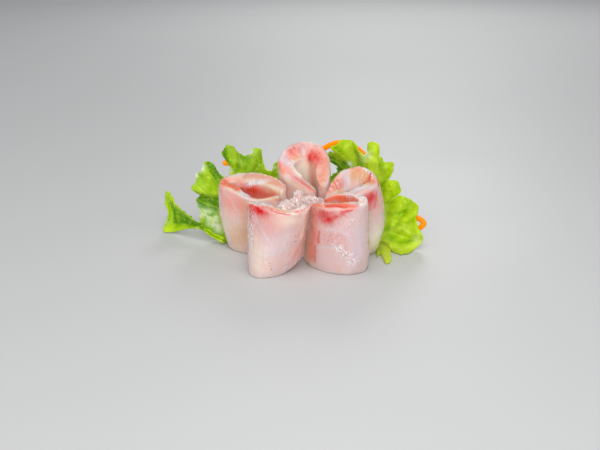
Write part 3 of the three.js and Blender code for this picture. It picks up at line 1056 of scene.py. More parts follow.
    front_right.mark(
        Tint.DARK, (1, 0.4, 0.5, 0.396, 0.31), (0.6, 0.4, 0.4, 0.452, 0.49), (0.6, 0.4, 0.5, 0.45, 0.16),
        (0.5, 0.4, 0.4, 0.365, 0.12), (0.5, 0.4, 0.4, 0.232, 0.96), (0.5, 0.4, 0.4, 0.397, 0.82),
        (0.5, 0.4, 0.4, 0.347, 0.59))
    right = Slice(
        "right", belly=4.2, seed=3,
        thickness=[4.6, 5.2, 5.2, 5.4, 6.2, 8, 9, 8.4, 6.2, 3.8],
        rise=[0.2, 0.3, 0.3, 0.4, 0.7, 1, 1, 1, 0.7, 0.3],
        crest=[[15.5, 2.2, 27.6], [20.5, 2.4, 29.6], [26, 3.9, 31.9], [30.4, 6.8, 33.3], [31.6, 11.8, 34.1],
               [29.1, 16.8, 34.5], [24.8, 18.1, 34.1], [20.3, 16.2, 33.1], [16.1, 12, 30.9], [11.6, 7.6, 27.9]],
        foot=[[15.5, 2.4, 1.5], [20, 3.2, 1], [24, 5.4, 0.4], [29.2, 8.2, 0], [31.5, 11.8, 0], [28, 14.9, 0],
              [24.4, 15.9, 0.4], [20, 14.8, 0.6], [15.4, 11.6, 1], [11, 8, 1.5]],
    )
    right.mark(
        Tint.BLOOD, (0.5, 4, 2.5, 0.74, 0.85), (0.2, 2.2, 0.95, 1.02, 0.883, 1.42),
        (0.35, 0.9, 0.884, 1.69, 0.836, 1.7), (0.3, 1.6, 0.94, 1.3, 0.871, 1.41, 0.809, 1.52),
        (0.7, 0.7, 0.514, 1.21, 0.491, 1.47, 0.329, 1.94), (0.75, 0.5, 0.459, 0.99, 0.415, 0.96),
        (0.85, 2.4, 3, 0.302, 0.88), (0.4, 0.5, 0.365, 0.91, 0.323, 0.73),
        (0.35, 0.9, 0.285, 0.79, 0.289, 0.72))
    right.mark(
        Tint.SALMON, (0.5, 7, 5, 0.62, 0.78), (0.5, 2.2, 0.968, 1.04, 0.896, 1.05, 0.83, 1.12),
        (0.4, 1.8, 0.685, 1.03, 0.624, 1.13), (0.7, 1, 0.521, 1.15, 0.5, 1.5, 0.494, 2.01),
        (0.55, 3.3, 1.1, 0.417, 1.28), (0.2, 2.7, 4.1, 0.349, 0.75))
    right.mark(
        Tint.TAN, (0.95, 2.7, 0.94, 0.98, 0.891, 1.29, 0.878, 1.85), (0.5, 1.8, 0.804, 0.99, 0.755, 0.99),
        (1, 3.1, 0.677, 1.33, 0.231, 1.86), (0.5, 1.1, 0.583, 1.3, 0.535, 1.96))
    right.mark(
        Tint.MILKY, (0.6, 1.8, 0.748, 0.99, 0.747, 1.39, 0.814, 1.84),
        (0.7, 0.9, 0.582, 1, 0.548, 1.03, 0.492, 0.99), (0.7, 1.8, 0.19, 1.79, 0.274, 1.5, 0.358, 1.07))
    right.mark(
        Tint.MILKY, (0.7, 0.5, 0.55, 0.35, 0.68, 0.55, 0.82, 0.5),
        (0.7, 0.4, 0.293, 0.45, 0.321, 0.53, 0.378, 0.58), raised=0.05)
    right.mark(Tint.CREAM, (0.6, 8, 8, 0.7, 0.3), (0.85, 2.8, 7.5, 0.337, 0.29))
    right.mark(Tint.GLINT, (0.4, 4.6, 4, 0.883, 1.32), (1, 1.2, 0.582, 1, 0.54, 1.12, 0.48, 1.14))
    back = Slice(
        "back", belly=0.8, seed=4,
        thickness=[5.2, 6.6, 7.6, 8.2, 8.2, 7.6, 6.6, 5, 3.4], rise=[0.75, 0.75, 0.75, 0.65, 0.2],
        crest=[[10, 15.2, 31.5], [10.7, 20.6, 36.2], [9.4, 28, 41.4], [4.3, 31.9, 44.1], [-2, 30.4, 43.4],
               [-6.2, 25.2, 40.5], [-5, 19.4, 37], [-0.2, 14.9, 34], [7.2, 11, 29.5]],
        foot=[[9.7, 15.2, 1.5], [10.2, 20, 0.8], [8.8, 26.4, 0.4], [4, 30, 0], [-2, 28.6, 0], [-5.2, 24.2, 0.4],
              [-4.2, 19.2, 0.8], [0, 14.8, 1.2], [7.2, 11.3, 1.5]],
    )
    back.mark(
        Tint.BLOOD, (0.6, 5, 2.6, 0.46, 0.88), (0.38, 5.1, 1.9, 0.498, 1.36), (0.65, 4.7, 2.9, 0.296, 1.84),
        (0.85, 2.9, 1.8, 0.336, 2.02), (0.5, 2.5, 2.2, 0.213, 1.88),
        (0.4, 2, 0.845, 1.13, 0.89, 1.32, 0.939, 1.13, 0.983, 1.07), (0.22, 5, 2.3, 0.171, 1.4))
    back.mark(
        Tint.SALMON, (0.55, 7, 5, 0.3, 0.8), (0.65, 4, 3, 0.541, 1.57), (0.6, 5.4, 3.7, 0.28, 1.73),
        (0.75, 1.8, 0.665, 1.05, 0.742, 1), (0.35, 1.3, 0.711, 1.46, 0.791, 1.44),
        (0.25, 2.2, 0.857, 1.12, 0.983, 1.07), (0.4, 1.8, 0.272, 2.12, 0.281, 2.27),
        (0.35, 2.2, 0.067, 1.69, 0, 2.02), (0.25, 5.5, 1.9, 0.117, 1.41))
    back.mark(
        Tint.TAN, (0.6, 1.1, 0.597, 1.85, 0.5, 1.94, 0.405, 2.01), (0.6, 2.2, 0.883, 1.13, 0.976, 1.43),
        (0.65, 3.6, 0.295, 2.08, 0.26, 2.33), (0.6, 1.8, 0.191, 2.02, 0.019, 2.04), (0.6, 7.7, 2.9, 0.143, 1.4),
        (0.3, 5, 3.5, 0.803, 0.86))
    back.mark(
        Tint.MILKY, (0.5, 6, 9, 0.36, 0.35), (0.6, 1.6, 0.566, 1.02, 0.637, 1.59),
        (0.6, 1.3, 0.609, 0.99, 0.658, 1.6), (0.35, 1.1, 0.432, 1.39, 0.444, 1.88),
        (0.5, 1.2, 0.769, 0.99, 0.877, 1.04, 0.931, 0.99), (0.5, 3.7, 1.2, 0.568, 2.07))
    back.mark(Tint.MILKY, (0.7, 0.5, 0.3, 0.62, 0.42, 0.5, 0.58, 0.56), raised=0.05)
    back.mark(
        Tint.CREAM, (0.85, 1.2, 0.59, 2, 0.733, 2.01, 0.857, 1.86), (0.6, 8, 10, 0.55, 0.3),
        (1, 9.8, 4.9, 0.487, 2.15), (0.9, 3.1, 3.6, 0.418, 2.27), (0.9, 9.8, 1.4, 0.779, 0.94))
    left = Slice(
        "left", belly=2.2, seed=5,
        thickness=[4.8, 5.6, 6.2, 7, 8, 7, 5, 3.8, 3.6], rise=[0.6, 0.75, 0.75, 0.75, 0.6, 0.2, 0, 0, 0.1],
        crest=[[-6.9, 8.6, 31], [-12.5, 15.8, 32.8], [-19.9, 22.7, 32.5], [-27.4, 26.9, 30.9],
               [-32.6, 27, 29.6], [-32.6, 23.4, 29.1], [-28, 17.5, 27.5], [-20.5, 10.6, 26.2], [-9.6, 4.4, 29]],
        foot=[[-8.4, 8.6, 1.5], [-13.5, 15.6, 1], [-19.3, 21.1, 0.6], [-24.8, 23.3, 0.4], [-28.4, 22, 0],
              [-28.7, 18.2, -0.4], [-26.4, 13.1, -0.6], [-20, 8.6, 0], [-9.8, 4.6, 1.5]],
    )
    left.mark(
        Tint.BLOOD, (0.5, 4, 3, 0.2, 0.82), (0.25, 0.7, 0.569, 1.37, 0.686, 1.72),
        (0.3, 1.1, 0.63, 2.01, 0.314, 2.01), (0.5, 6, 1.8, 0.265, 2.12), (0.4, 0.7, 0.878, 1.59, 0.926, 1.78))
    left.mark(
        Tint.SALMON, (0.45, 8, 5, 0.3, 0.75), (0.5, 2, 0.529, 1.19, 0.459, 1.41, 0.355, 1.79),
        (0.8, 1.6, 0.575, 1.07, 0.652, 1.42, 0.72, 1.62), (0.3, 1.6, 0.341, 1.33, 0.22, 1.32, 0.111, 1.06),
        (0.3, 1.3, 0.139, 1.81, 0.053, 1.28), (0.9, 6.9, 2.3, 0.265, 2.12),
        (0.6, 1.8, 0.279, 2.2, 0.162, 2.2, 0.053, 2.12), (0.5, 4.2, 1.7, 0.211, 2.11),
        (0.8, 2.2, 0.534, 1.33, 0.629, 1.76, 0.725, 1.96), (0.6, 1.5, 1.1, 0.017, 1.26),
        (0.8, 1.6, 0.852, 1.86, 0.938, 1.7), (0.6, 1.1, 1.2, 0.999, 0.95), (0.45, 6.7, 5.1, 0.74, 0.8),
        (0.5, 2, 2.5, 0.63, 0.96))
    left.mark(
        Tint.TAN, (0.45, 1.6, 0.341, 1.33, 0.22, 1.32, 0.111, 1.06), (0.6, 1.6, 0.149, 1.71, 0.068, 1.3),
        (0.5, 1.8, 0.127, 2.19, 0.053, 2.12), (0.55, 2.2, 0.127, 2.08, 0.01, 2.04),
        (0.7, 1.8, 0.938, 1.7, 0.981, 1.04), (0.65, 6.3, 7, 0.762, 0.27), (0.6, 2, 0.835, 0.89, 0.827, 0.3),
        (0.6, 0.6, 2.5, 0.623, 0.05))
    left.mark(
        Tint.MILKY, (0.85, 0.9, 0.287, 2.04, 0.233, 1.88, 0.179, 1.72), (0.8, 1.3, 0.761, 1.78, 0.85, 1.04),
        (0.4, 1.1, 0.604, 0.82, 0.588, 0.53), (0.3, 0.8, 0.671, 0.47, 0.672, 0.11))
    left.mark(
        Tint.MILKY, (0.7, 0.5, 0.1, 0.3, 0.25, 0.5, 0.42, 0.45),
        (0.3, 0.6, 0.61, 0.96, 0.712, 0.87, 0.794, 0.67), raised=0.05)
    left.mark(
        Tint.CREAM, (0.6, 9, 7, 0.32, 0.25), (0.7, 5.7, 0.4, 0.074, 2.05), (0.7, 1.8, 0.995, 1.06, 0, 2.04),
        (0.6, 6.9, 8.1, 0.678, 0.35))
    left.mark(
        Tint.GLINT, (0.15, 5.2, 7.5, 0.747, 0.53), (0.5, 0.4, 0.499, 1.07, 0.391, 1.16, 0.24, 0.99),
        (1, 1.1, 0.287, 2.04, 0.233, 1.88, 0.172, 1.72))
    return [front_left, front_right, right, back, left]


# --- The mound ---


LUMPS = Grain(0.05, 0.3, 1, 4)
CROWN = 0.98  # How much of its top a blob reaches.
BLUNT = 0.5  # The power that makes a blob's sides steep: 1 gives a ball.
SHRUNK = 0.93  # How much of its length and width a blob reaches, so that the shreds have room.


@dataclass(frozen=True)
class Blob:
    """A part of the mound's core: a rounded heap with a flat foot.

    Attributes:
        x: where its middle is.
        y: likewise.
        reach: its half-length.
        wide: its half-width.
        heading: where its length points.
        top: its height.
    """

    x: float
    y: float
    reach: float
    wide: float
    heading: float
    top: float

    def spot(self, along: float, across: float, z: float) -> Array:
        """Finds a place on it.

        Args:
            along: the share of its half-length.
            across: the share of its half-width.
            z: how high the place is.

        Returns:
            The place, in millimetres.
        """
        c, s = math.cos(self.heading), math.sin(self.heading)
        x, y = self.reach * along, self.wide * across
        return np.array([self.x + x * c - y * s, self.y + x * s + y * c, z])

    def height(self, z: float) -> float:
        """How high a place at z on a ball of radius 1 comes when the ball is blunted and stood on the floor."""
        return self.top * CROWN / 2 * (1 + math.copysign(abs(z) ** BLUNT, z))


@dataclass
class Mound:
    """The heap of clear shreds in the middle: a milky core with shreds all over it.

    Attributes:
        blobs: the core's parts, and how many of the shreds each has, as a weight.
        shreds: how many shreds lie on it.
        width: a shred's width.
        spread: how far out the shreds lie, as a share of a blob.
        sink: how deep a shred's middle lies under the top of the core there.
        cuts: into how many parts a shred is cut so that it can bend.
        spans: the least and the most of a shred's heading past the way out, its length, arch, twist, bend, share
            of the width, lift and slope.
        seed: another value gives another heap.
    """

    blobs: Sequence[tuple[Blob, int]] = (
        (Blob(-5.4, -2.0, 8.8, 4.6, 1.1, 28.3), 5),
        (Blob(4.2, 2.4, 7.6, 3.3, 0.1, 29.4), 4),
        (Blob(-0.7, 2.4, 3.2, 2.6, 0.2, 32.6), 1),
    )
    shreds: int = 90
    width: float = 1.35
    spread: float = 0.97
    sink: float = 0.7
    cuts: int = 12
    spans: Sequence[tuple[float, float]] = ((0.8, 2.3), (2.4, 5.2), (0.3, 1.0), (-1.5, 1.5), (-1.6, 1.6),
                                            (0.55, 1.1), (-0.6, 0.6), (-0.25, 0.25))
    seed: int = 11

    def core(self) -> Object:
        """Models the core, one blob at a time, and joins the blobs.

        Returns:
            The core.
        """
        blobs = []
        for number, (blob, _) in enumerate(self.blobs):
            Bench.clear()
            bpy.ops.mesh.primitive_uv_sphere_add(segments=96, ring_count=72, radius=1)
            piece = bpy.context.object
            ball = Bench.points(piece)
            lumps = LUMPS.at(ball, number)
            Bench.place(piece, np.array([
                blob.spot(x * (SHRUNK + lump), y * (SHRUNK + lump), blob.height(z) * (1 + 0.4 * lump))
                for (x, y, z), lump in zip(ball.tolist(), lumps.tolist())]))
            blobs.append(piece)
        core = Bench.join("mound_core", blobs)
        Bench.close(core, 1e-6)
        return core

    def strip(self) -> Object:
        """Models one straight shred by hand, which every other is copied from.

        Returns:
            The shred, 1 long.
        """
        Bench.clear()
        bpy.ops.mesh.primitive_cube_add(size=1)
        piece = bpy.context.object
        bpy.ops.object.mode_set(mode="EDIT")
        bpy.ops.mesh.select_all(action="SELECT")
        flatter, bevel = 0.62, 0.14
        inner = 0.5 - bevel
        bpy.ops.transform.resize(value=(1, flatter, 1))
        bpy.ops.mesh.bevel(offset=bevel, segments=1, affect="EDGES")
        for k in range(1, self.cuts):
            bpy.ops.mesh.select_all(action="SELECT")
            bpy.ops.mesh.bisect(plane_co=(-inner + 2 * inner * k / self.cuts, 0, 0), plane_no=(1, 0, 0))
        bpy.ops.object.mode_set(mode="OBJECT")
        return piece

    def scatter(self) -> Object:
        """Lays the shreds on the core and joins them.

        Returns:
            The shreds, as one piece.
        """
        draw = random.Random(self.seed)
        strip = self.strip()
        straight = Bench.points(strip)
        blobs, weights = zip(*self.blobs)
        copies = []
        for number in range(self.shreds):
            blob = draw.choices(blobs, weights)[0]
            around, out = draw.uniform(0, 2 * math.pi), math.sqrt(draw.random()) * self.spread
            top = blob.height(math.sqrt(1 - out * out))
            base = blob.spot(out * math.cos(around), out * math.sin(around), top - self.sink)
            past, reach, arch, twist, bend, wide, lift, slope = (draw.uniform(*span) for span in self.spans)
            s = straight[:, 0] * 2
            turn = twist * s
            across = straight[:, 1] * np.cos(turn) - straight[:, 2] * np.sin(turn)
            over = straight[:, 1] * np.sin(turn) + straight[:, 2] * np.cos(turn)
            x = s * reach / 2
            y = across * wide * self.width + bend * s * s
            z = over * wide * self.width + arch * (1 - s * s) + lift + slope * x * 0.5
            c, n = math.cos(around + past), math.sin(around + past)
            piece = Bench.add(f"shred_{number}", strip.data.copy())
            Bench.place(piece, base + np.stack([x * c - y * n, x * n + y * c, z], 1))
            copies.append(piece)
        bpy.data.objects.remove(strip)
        heap = Bench.join("mound_shreds", copies)
        bpy.ops.object.shade_smooth_by_angle(angle=math.radians(50))
        return heap

    def build(self) -> None:
        """Builds and dresses the mound."""
        milky = ShredFinish("clear_core", clear=tone(232, 196, 184))
        Bench.dress(self.core(), milky.material(), "shreds", "mound")
        Bench.dress(self.scatter(), ShredFinish("clear_shreds").material(), "shreds", "mound")


# --- Lettuce ---


class Look(Enum):
    """What a mark does to a leaf's colour: darker as painted shade, whitish as a painted sheen, or pale like a
    vein.
    """

    DARK = 0
    PAINTED_SHEEN = 1
    PALE = 2


# A leaf's notched edge, finer waves and blisters, the wander of its ribs, its net of veins and its shades.
NOTCHES = Grain(1.0, (2.6, 1, 1), 9, 3)
FRILLS = Grain(1.0, 7, 1)
BLISTERS = Grain(0.45, 2.6, 2)
WANDER = Grain(1.3, 12, 5)
NET = Grain(1.0, 3.2, 6)
SHADE = Grain(0.25, 9, 7)


@dataclass
class Leaf:
    """A ruffled lettuce leaf, a sheet from base over waist to edge.

    Attributes:
        side: where it is, in its own name and that of the CAD node that it stands for.
        depth: the leaning plane that it lies in rises from the line y = depth.
        push: how far base, waist and edge stand out of that plane.
        turn: how far the leaf swings round the vertical.
        ruffle: the height, the count and the phase of the waves along its edge.
        base: the lower edge, as places [across, up] in the plane.
        waist: the line that the leaf bends at.
        edge: the outer edge.
        seed: another value gives other unevenness.
        frill: the height of the finer waves.
        teeth: how far the edge is notched.
        dark: how dark the leaf is, from 0 to 1.
        thickness: the room that the sheet takes up, in millimetres, of which the leaf has three quarters.
        inner: the share of the sheet's rows that lie within the waist.
        marks: the veins, folds and spots on it, where the folds are darkened as painted shade and the whitish
            spots are a painted sheen.
    """

    side: str
    depth: float
    push: Sequence[float]
    turn: float
    ruffle: Sequence[float]
    base: Path
    waist: Path
    edge: Path
    seed: float
    frill: float = 1.4
    teeth: float = 0.9
    dark: float = 0.2
    thickness: float = 0.9
    inner: float = 0.2
    marks: list[Mark] = field(default_factory=list)

    def mark(self, look: Look, *rows: Sequence[float]) -> None:
        """Puts marks of one look on the leaf.

        Args:
            look: what they do to its colour.
            rows: one for each mark: its strength, how far it stands out, its half-width and the places on it.
        """
        for strength, raised, reach, *path in rows:
            self.marks.append(Mark(look, strength, raised, [reach], np.reshape(path, (-1, 2))))

    def shape(self, t: Array, v: Array) -> tuple[Array, Array]:
        """Places the sheet.

        Args:
            t: how far along the edge each place is.
            v: how far out it is, from 0 at the base to 1 at the edge.

        Returns:
            The places, and [across, up] of each in the leaning plane.
        """
        base, waist, edge = (Curve(path).at(t) for path in (self.base, self.waist, self.edge))
        length = Curve(self.edge).length()
        notch = NOTCHES.at(np.column_stack([t * length, t * 0, t * 0]), self.seed)
        outward = Curve(self.edge).heading(t)[:, [1, 0]] * (-1, 1)
        outward *= np.sign(np.sum(outward * (edge - waist), axis=1, keepdims=True))
        most = 0.8
        edge = edge + outward * (self.teeth * np.clip(notch, -most, most))[:, None]
        inner = np.minimum(v / self.inner, 1)
        outer = np.maximum(v - self.inner, 0) / (1 - self.inner)
        flat = base + (waist - base) * inner[:, None] + (edge - waist) * outer[:, None]
        push = np.interp(v, (0, self.inner, 1), self.push)
        height, count, phase = self.ruffle
        wave = height * outer * np.sin(2 * math.pi * count * t + phase)
        plane = np.column_stack([flat, np.zeros(len(t))])
        wave += self.frill * outer * FRILLS.at(plane, self.seed)
        wave += self.frill * (0.3 + outer) * BLISTERS.at(plane, self.seed)
        wave += sum(mark.raised * mark.share(flat, mark.path) for mark in self.marks)
        out = push + self.turn * flat[:, 0] + wave
        lowest, softness = self.thickness / 2 + 0.1, 0.3
        c, s = math.cos(LEAN), math.sin(LEAN)
        drop = flat[:, 1] * c + out * s - lowest
        out = out + (np.sqrt(drop * drop + softness) - drop) / 2 / s
        return np.column_stack([flat[:, 0], self.depth + flat[:, 1] * s - out * c, flat[:, 1] * c + out * s]), flat

    def build(self) -> Object:
        """Builds the leaf.

        Returns:
            The finished piece.
        """
        along, outward = max(8 * (len(self.edge) - 1), 96), 42
        rib_gap, leaf_share = 3.2, 0.75
        piece = Bench.grid(f"{self.side}_leaf", along, outward)
        sheet = Bench.points(piece)
        t, v = sheet[:, 0] + 0.5, sheet[:, 1] + 0.5
        places, flat = self.shape(t, v)
        Bench.place(piece, places)
        plane = np.column_stack([flat, np.zeros(len(t))])
        to_rib = np.abs(np.sin(math.pi * (len(self.edge) / rib_gap) * t + WANDER.at(plane)))
        veins = np.exp(-((to_rib / (0.16 - 0.08 * v)) ** 2)) * (1 - 0.5 * v)
        to_net, wide = np.abs(NET.at(plane, self.seed)), 0.06
        veins = np.maximum(veins, 0.5 * np.exp(-((to_net / wide) ** 2)))
        tint = np.zeros((len(t), 4))
        # Red is the darker green, with the painted shade of the dark marks; green is the painted whitish sheen.
        tint[:, 0] = self.dark + SHADE.at(plane)
        for mark in self.marks:
            share = mark.strength * mark.share(flat, mark.path)
            if mark.kind is Look.DARK:
                tint[:, 0] += share
            elif mark.kind is Look.PAINTED_SHEEN:
                tint[:, 1] = np.maximum(tint[:, 1], share)
            else:
                veins = np.maximum(veins, share)
        Bench.keep(piece, "tint", "FLOAT_COLOR", np.clip(tint, 0, 1))
        Bench.keep(piece, "vein", "FLOAT", veins)
        Bench.apply(piece, "SOLIDIFY", thickness=self.thickness * MM * leaf_share, offset=0.0)
        Bench.apply(piece, "SUBSURF", levels=1, render_levels=1)
        Bench.close(piece)
        return piece


def leaves() -> list[Leaf]:
    """The five leaves with their marks.

    Returns:
        The leaves, from the right round to the left.
    """
    right = Leaf(
        "right", depth=14, push=[-9, -8, 0], turn=0, ruffle=[0.9, 9, 0.4],
        seed=1,
        base=[[26, 20], [29, 17], [32, 12], [34, 8], [35, 4.5], [34.8, 1.5]],
        waist=[[24, 38.5], [28.5, 34], [32, 27.5], [34.5, 21], [35.8, 14], [36.2, 8], [35.7, 4], [35, 1.5]],
        edge=[[15.5, 45.5], [14.5, 47.5], [19.5, 50.5], [24, 50.5], [26, 46.5], [29, 44], [31, 45], [31.5, 50],
              [36, 48.5], [37, 43.5], [39, 40.5], [42.5, 40.5], [43, 37], [40, 32.5], [44.5, 32], [46, 27.5],
              [42.5, 23.5], [47, 25], [51.5, 23], [54.5, 19.5], [53.5, 15.5], [54.5, 10], [56.5, 5], [53.5, 1],
              [47.5, -1.5], [43, -0.5], [40.5, 3.5], [41.5, -2.5], [38.5, -5.5], [37, -1], [35, -3],
              [35.3, -0.5]],
    )
    # Dark marks are painted shade in the folds and under the lobes; the whitish marks are a painted sheen.
    right.mark(
        Look.DARK, (0.5, -0.4, 1.2, 16.3, 47.2, 20.5, 43.7, 23.8, 39.6),
        (0.5, -0.5, 1, 26, 45.4, 27.4, 41.8, 28.3, 39.1), (0.1, -0.2, 1, 36, 46.3, 36.5, 40.8, 38.9, 34.4),
        (0.1, -0.3, 1, 40.2, 34.4, 38.4, 29.8), (0.15, -0.4, 1.2, 43.8, 24.7, 41.3, 21.1, 40, 15.1),
        (0.3, -0.6, 1, 50.2, 22, 47.7, 16.5, 43.6, 9.6), (0.3, -0.6, 1, 52.5, 14.6, 48, 10, 42.7, 5.4),
        (0.35, -0.7, 1.3, 41.8, 4.5, 46.8, 3.1, 51.3, 4.5), (0.4, -0.4, 1.6, 40.5, 10.5, 39.1, 5.9),
        (0.3, -0.5, 0.8, 40.9, 17, 45.4, 16.9, 49, 18.3), (0.3, -0.5, 0.8, 40.9, 8.6, 45, 11.4, 49.4, 12.8),
        (0.3, -0.4, 1, 36.6, 39.5, 37.5, 33.5, 38, 28), (0.5, 0, 1.2, 38.5, 3.6, 37.9, 1.3))
    right.mark(Look.PAINTED_SHEEN, (1, 0, 2.2, 30, 43.5), (1, 0, 1.5, 22.9, 39.6), (0.5, 0, 1.5, 53.9, 5.9, 54.8, 3.6))
    right.mark(
        Look.PALE, (0.3, 0.5, 1.6, 20, 49.5, 22.3, 45.5, 24.3, 40.1),
        (0.6, 0.3, 3.2, 32.8, 42.6, 34.7, 39, 36.2, 33.5), (0.3, 0.3, 1.5, 32.7, 49.4, 33.7, 45.3),
        (0.4, 0.4, 1.2, 41.4, 39.8, 38.3, 37.1, 37.1, 33.5), (0.25, 0.5, 1.5, 44.2, 30.6, 40.6, 27.9, 39, 23.4),
        (0.2, 0.6, 1.6, 47.4, 23.8, 44.8, 18.8, 41.8, 11.4), (0.2, 0.5, 1.4, 52.9, 18.8, 48.9, 13.7, 43.2, 6.8),
        (0.25, 0.4, 1.3, 54.2, 8.7, 49.4, 7.3, 42.3, 4.5),
        (0.8, 0.8, 1.6, 41.9, 1.8, 46.3, 0, 51.1, 1.3, 53.9, 3.6), (1, 0.3, 3.6, 38.8, 1.3, 38.9, -3),
        (0.6, 0.5, 1.3, 38.7, 6.8, 42.7, 9.6, 46.7, 10, 51.2, 7.7), (0.5, 0, 2.6, 39.4, 23.4, 39.6, 13.3),
        (0.35, 0.3, 2, 43.1, 17.9, 47.5, 20.6, 51.1, 21), (0.3, 0.3, 1.3, 45, 13.3, 49.4, 14.6, 52.5, 16.9),
        (0.35, 0, 1.6, 41.8, 11.4, 47.2, 11.9, 52, 11), (0.3, 0, 2, 39.9, 21.1, 39.6, 11.9))
    middle = Leaf(
        "middle", depth=26, push=[0, 0, 0], turn=0, ruffle=[0.6, 3, 0],
        dark=0.6, seed=2,
        base=[[25, 1.5], [22, 1], [19, 1]],
        waist=[[23.5, 35], [22.5, 31.5], [20, 28]],
        edge=[[22, 39], [17, 41.5], [13, 42.5], [13, 39], [16.5, 37], [17.5, 34.5], [15.5, 32], [12.5, 30.5],
              [13.5, 28]],
    )
    middle.mark(Look.DARK, (0.6, -0.5, 2, 14.2, 38.7, 17.5, 34), (0.5, 0, 1.5, 20.7, 37.7, 18.9, 33.6))
    middle.mark(Look.PALE, (0.35, 0.3, 0.9, 15.6, 41.4, 19.8, 38.2))
    back = Leaf(
        "back", depth=26, push=[-2.8, -2, 0], turn=0, ruffle=[0.8, 4, 1],
        dark=0.32, seed=3,
        base=[[-28, 2], [-25, 1.2], [-21, 1], [-17, 2]],
        waist=[[-30, 29.5], [-25.5, 29.5], [-17.5, 28.5], [-8.5, 27]],
        edge=[[-33, 31.5], [-32, 35.5], [-34.5, 39.5], [-36.5, 42], [-34.5, 45.5], [-32, 45.5], [-28.5, 42],
              [-24.5, 40.5], [-22, 44], [-18.5, 43.5], [-18, 39.5], [-16, 34], [-12.5, 34], [-12, 37], [-9, 37],
              [-5.5, 33.5]],
    )
    back.mark(
        Look.DARK, (0.45, 0, 3.2, -34.7, 43.8, -30.1, 40.1, -26.9, 38.7),
        (0.35, 0, 2.8, -20.7, 41.4, -19.4, 35.9), (0.7, -0.5, 1.3, -35.7, 42.9, -34.8, 39.6, -33.3, 36.8),
        (0.4, -0.5, 1.2, -28.3, 39.7, -29.2, 34.1), (0.35, 0, 2.5, -25.5, 34.5, -21.7, 33.1))
    back.mark(Look.PAINTED_SHEEN, (0.95, 0, 1.6, -23.1, 41.9), (0.7, 0, 1.2, -32.4, 33.5), (0.5, 0, 2, -11, 35.9))
    back.mark(
        Look.PALE, (0.35, 0.8, 1.6, -33.3, 44.7, -30.1, 40.1, -26.8, 35.9),
        (0.35, 0.7, 1.5, -20.7, 42.8, -21.2, 37.7, -23.6, 34), (0.4, 0.4, 1.2, -18, 35.9, -15.1, 33))
    left = Leaf(
        "left", depth=20, push=[-10, -10, -8.6], turn=0, ruffle=[0.8, 4, 2],
        dark=0.38, seed=4,
        base=[[-31, 20], [-30, 14.5], [-29.5, 9.5], [-30, 5.5], [-31.5, 2.5]],
        waist=[[-34, 30], [-34, 23.5], [-34, 16], [-33, 8.5], [-32.5, 3]],
        edge=[[-36, 32.5], [-39.5, 36], [-42, 40], [-45.5, 38.5], [-46.5, 35], [-48.5, 34.5], [-49.5, 30],
              [-51, 26.5], [-46, 25], [-47.5, 23.5], [-48.5, 20.5], [-46.5, 16], [-47, 12], [-43.5, 7.5],
              [-40, 4], [-35, 1.5]],
    )
    left.mark(
        Look.DARK, (1, -1.2, 1.8, -47.7, 22.8, -43.4, 22.3, -39.2, 21.9),
        (1, 0, 3, -47.6, 20.5, -43.4, 19.5, -39.6, 19), (0.5, 0, 2.6, -41.5, 38.3, -38.7, 34.5),
        (0.4, 0, 1.6, -43.2, 11.5, -45.2, 10.1), (0.35, -0.4, 1, -43.3, 39.2, -41, 34, -38.2, 28),
        (0.8, 0, 0.7, -43.7, 13.9, -41, 14.8), (0.3, 0, 1.5, -41.5, 7.8, -37.7, 5))
    left.mark(
        Look.PAINTED_SHEEN, (0.95, 0, 1.2, -45.6, 37.7, -46.1, 35.9), (0.8, 0, 0.9, -48.5, 34, -49, 32.6),
        (1, 0.5, 2.2, -46.1, 15.3, -42.8, 14.8, -39.5, 12.5), (0.9, 0.4, 2.2, -42.3, 11.5, -38.2, 8.7),
        (0.6, 0, 1.2, -48.1, 19.5, -47.5, 17.1))
    left.mark(
        Look.PALE, (0.25, 1, 1.3, -50.2, 26, -45.1, 25.1, -39.6, 24.2),
        (0.25, 0.5, 2.2, -45.6, 34.9, -43.3, 29.3))
    boat = Leaf(
        "boat", depth=20, push=[26.5, 24.5, 26.5], turn=0.75, ruffle=[0, 1, 0],
        frill=0.4, seed=5,
        base=[[-35.3, 1.7], [-41, 4.5], [-46.5, 8], [-54, 8], [-61, 6.5], [-65.5, 7.5], [-62.5, 14],
              [-64.5, 20]],
        waist=[[-35.3, 2.5], [-41.2, 5.4], [-46, 8.7], [-52.5, 10.5], [-58.2, 11], [-62.5, 12.5], [-62.5, 18.5],
               [-64.5, 23]],
        edge=[[-35.3, 3.4], [-41.5, 6.5], [-45.5, 9.5], [-51, 13.5], [-55, 16.5], [-58.5, 19.5], [-61.5, 24],
              [-64, 26.5]],
    )
    boat.mark(
        Look.DARK, (1, -0.5, 0.8, -61.2, 20.6, -59.7, 16.3, -59.3, 11.6),
        (0.9, 0, 3, -56.1, 16.3, -52.1, 12.5, -47.2, 9.7), (0.6, 0, 2.2, -54.2, 11.6, -58.2, 10.6))
    boat.mark(Look.PAINTED_SHEEN, (0.9, 0, 1.2, -65.3, 9.2, -63.7, 11.1))
    boat.mark(
        Look.PALE, (0.25, 0.4, 2.2, -64.2, 24.9, -64.2, 19.2, -61.8, 12.5),
        (0.5, 0.3, 0.7, -61.6, 23, -57.1, 17.7, -50.1, 12.5), (0.4, 0, 1.3, -64.6, 7.3, -61.6, 7.3))
    return [right, middle, back, left, boat]


# --- Carrot ---


UNEVEN = Grain(0.06, 1.5, 3, 3)


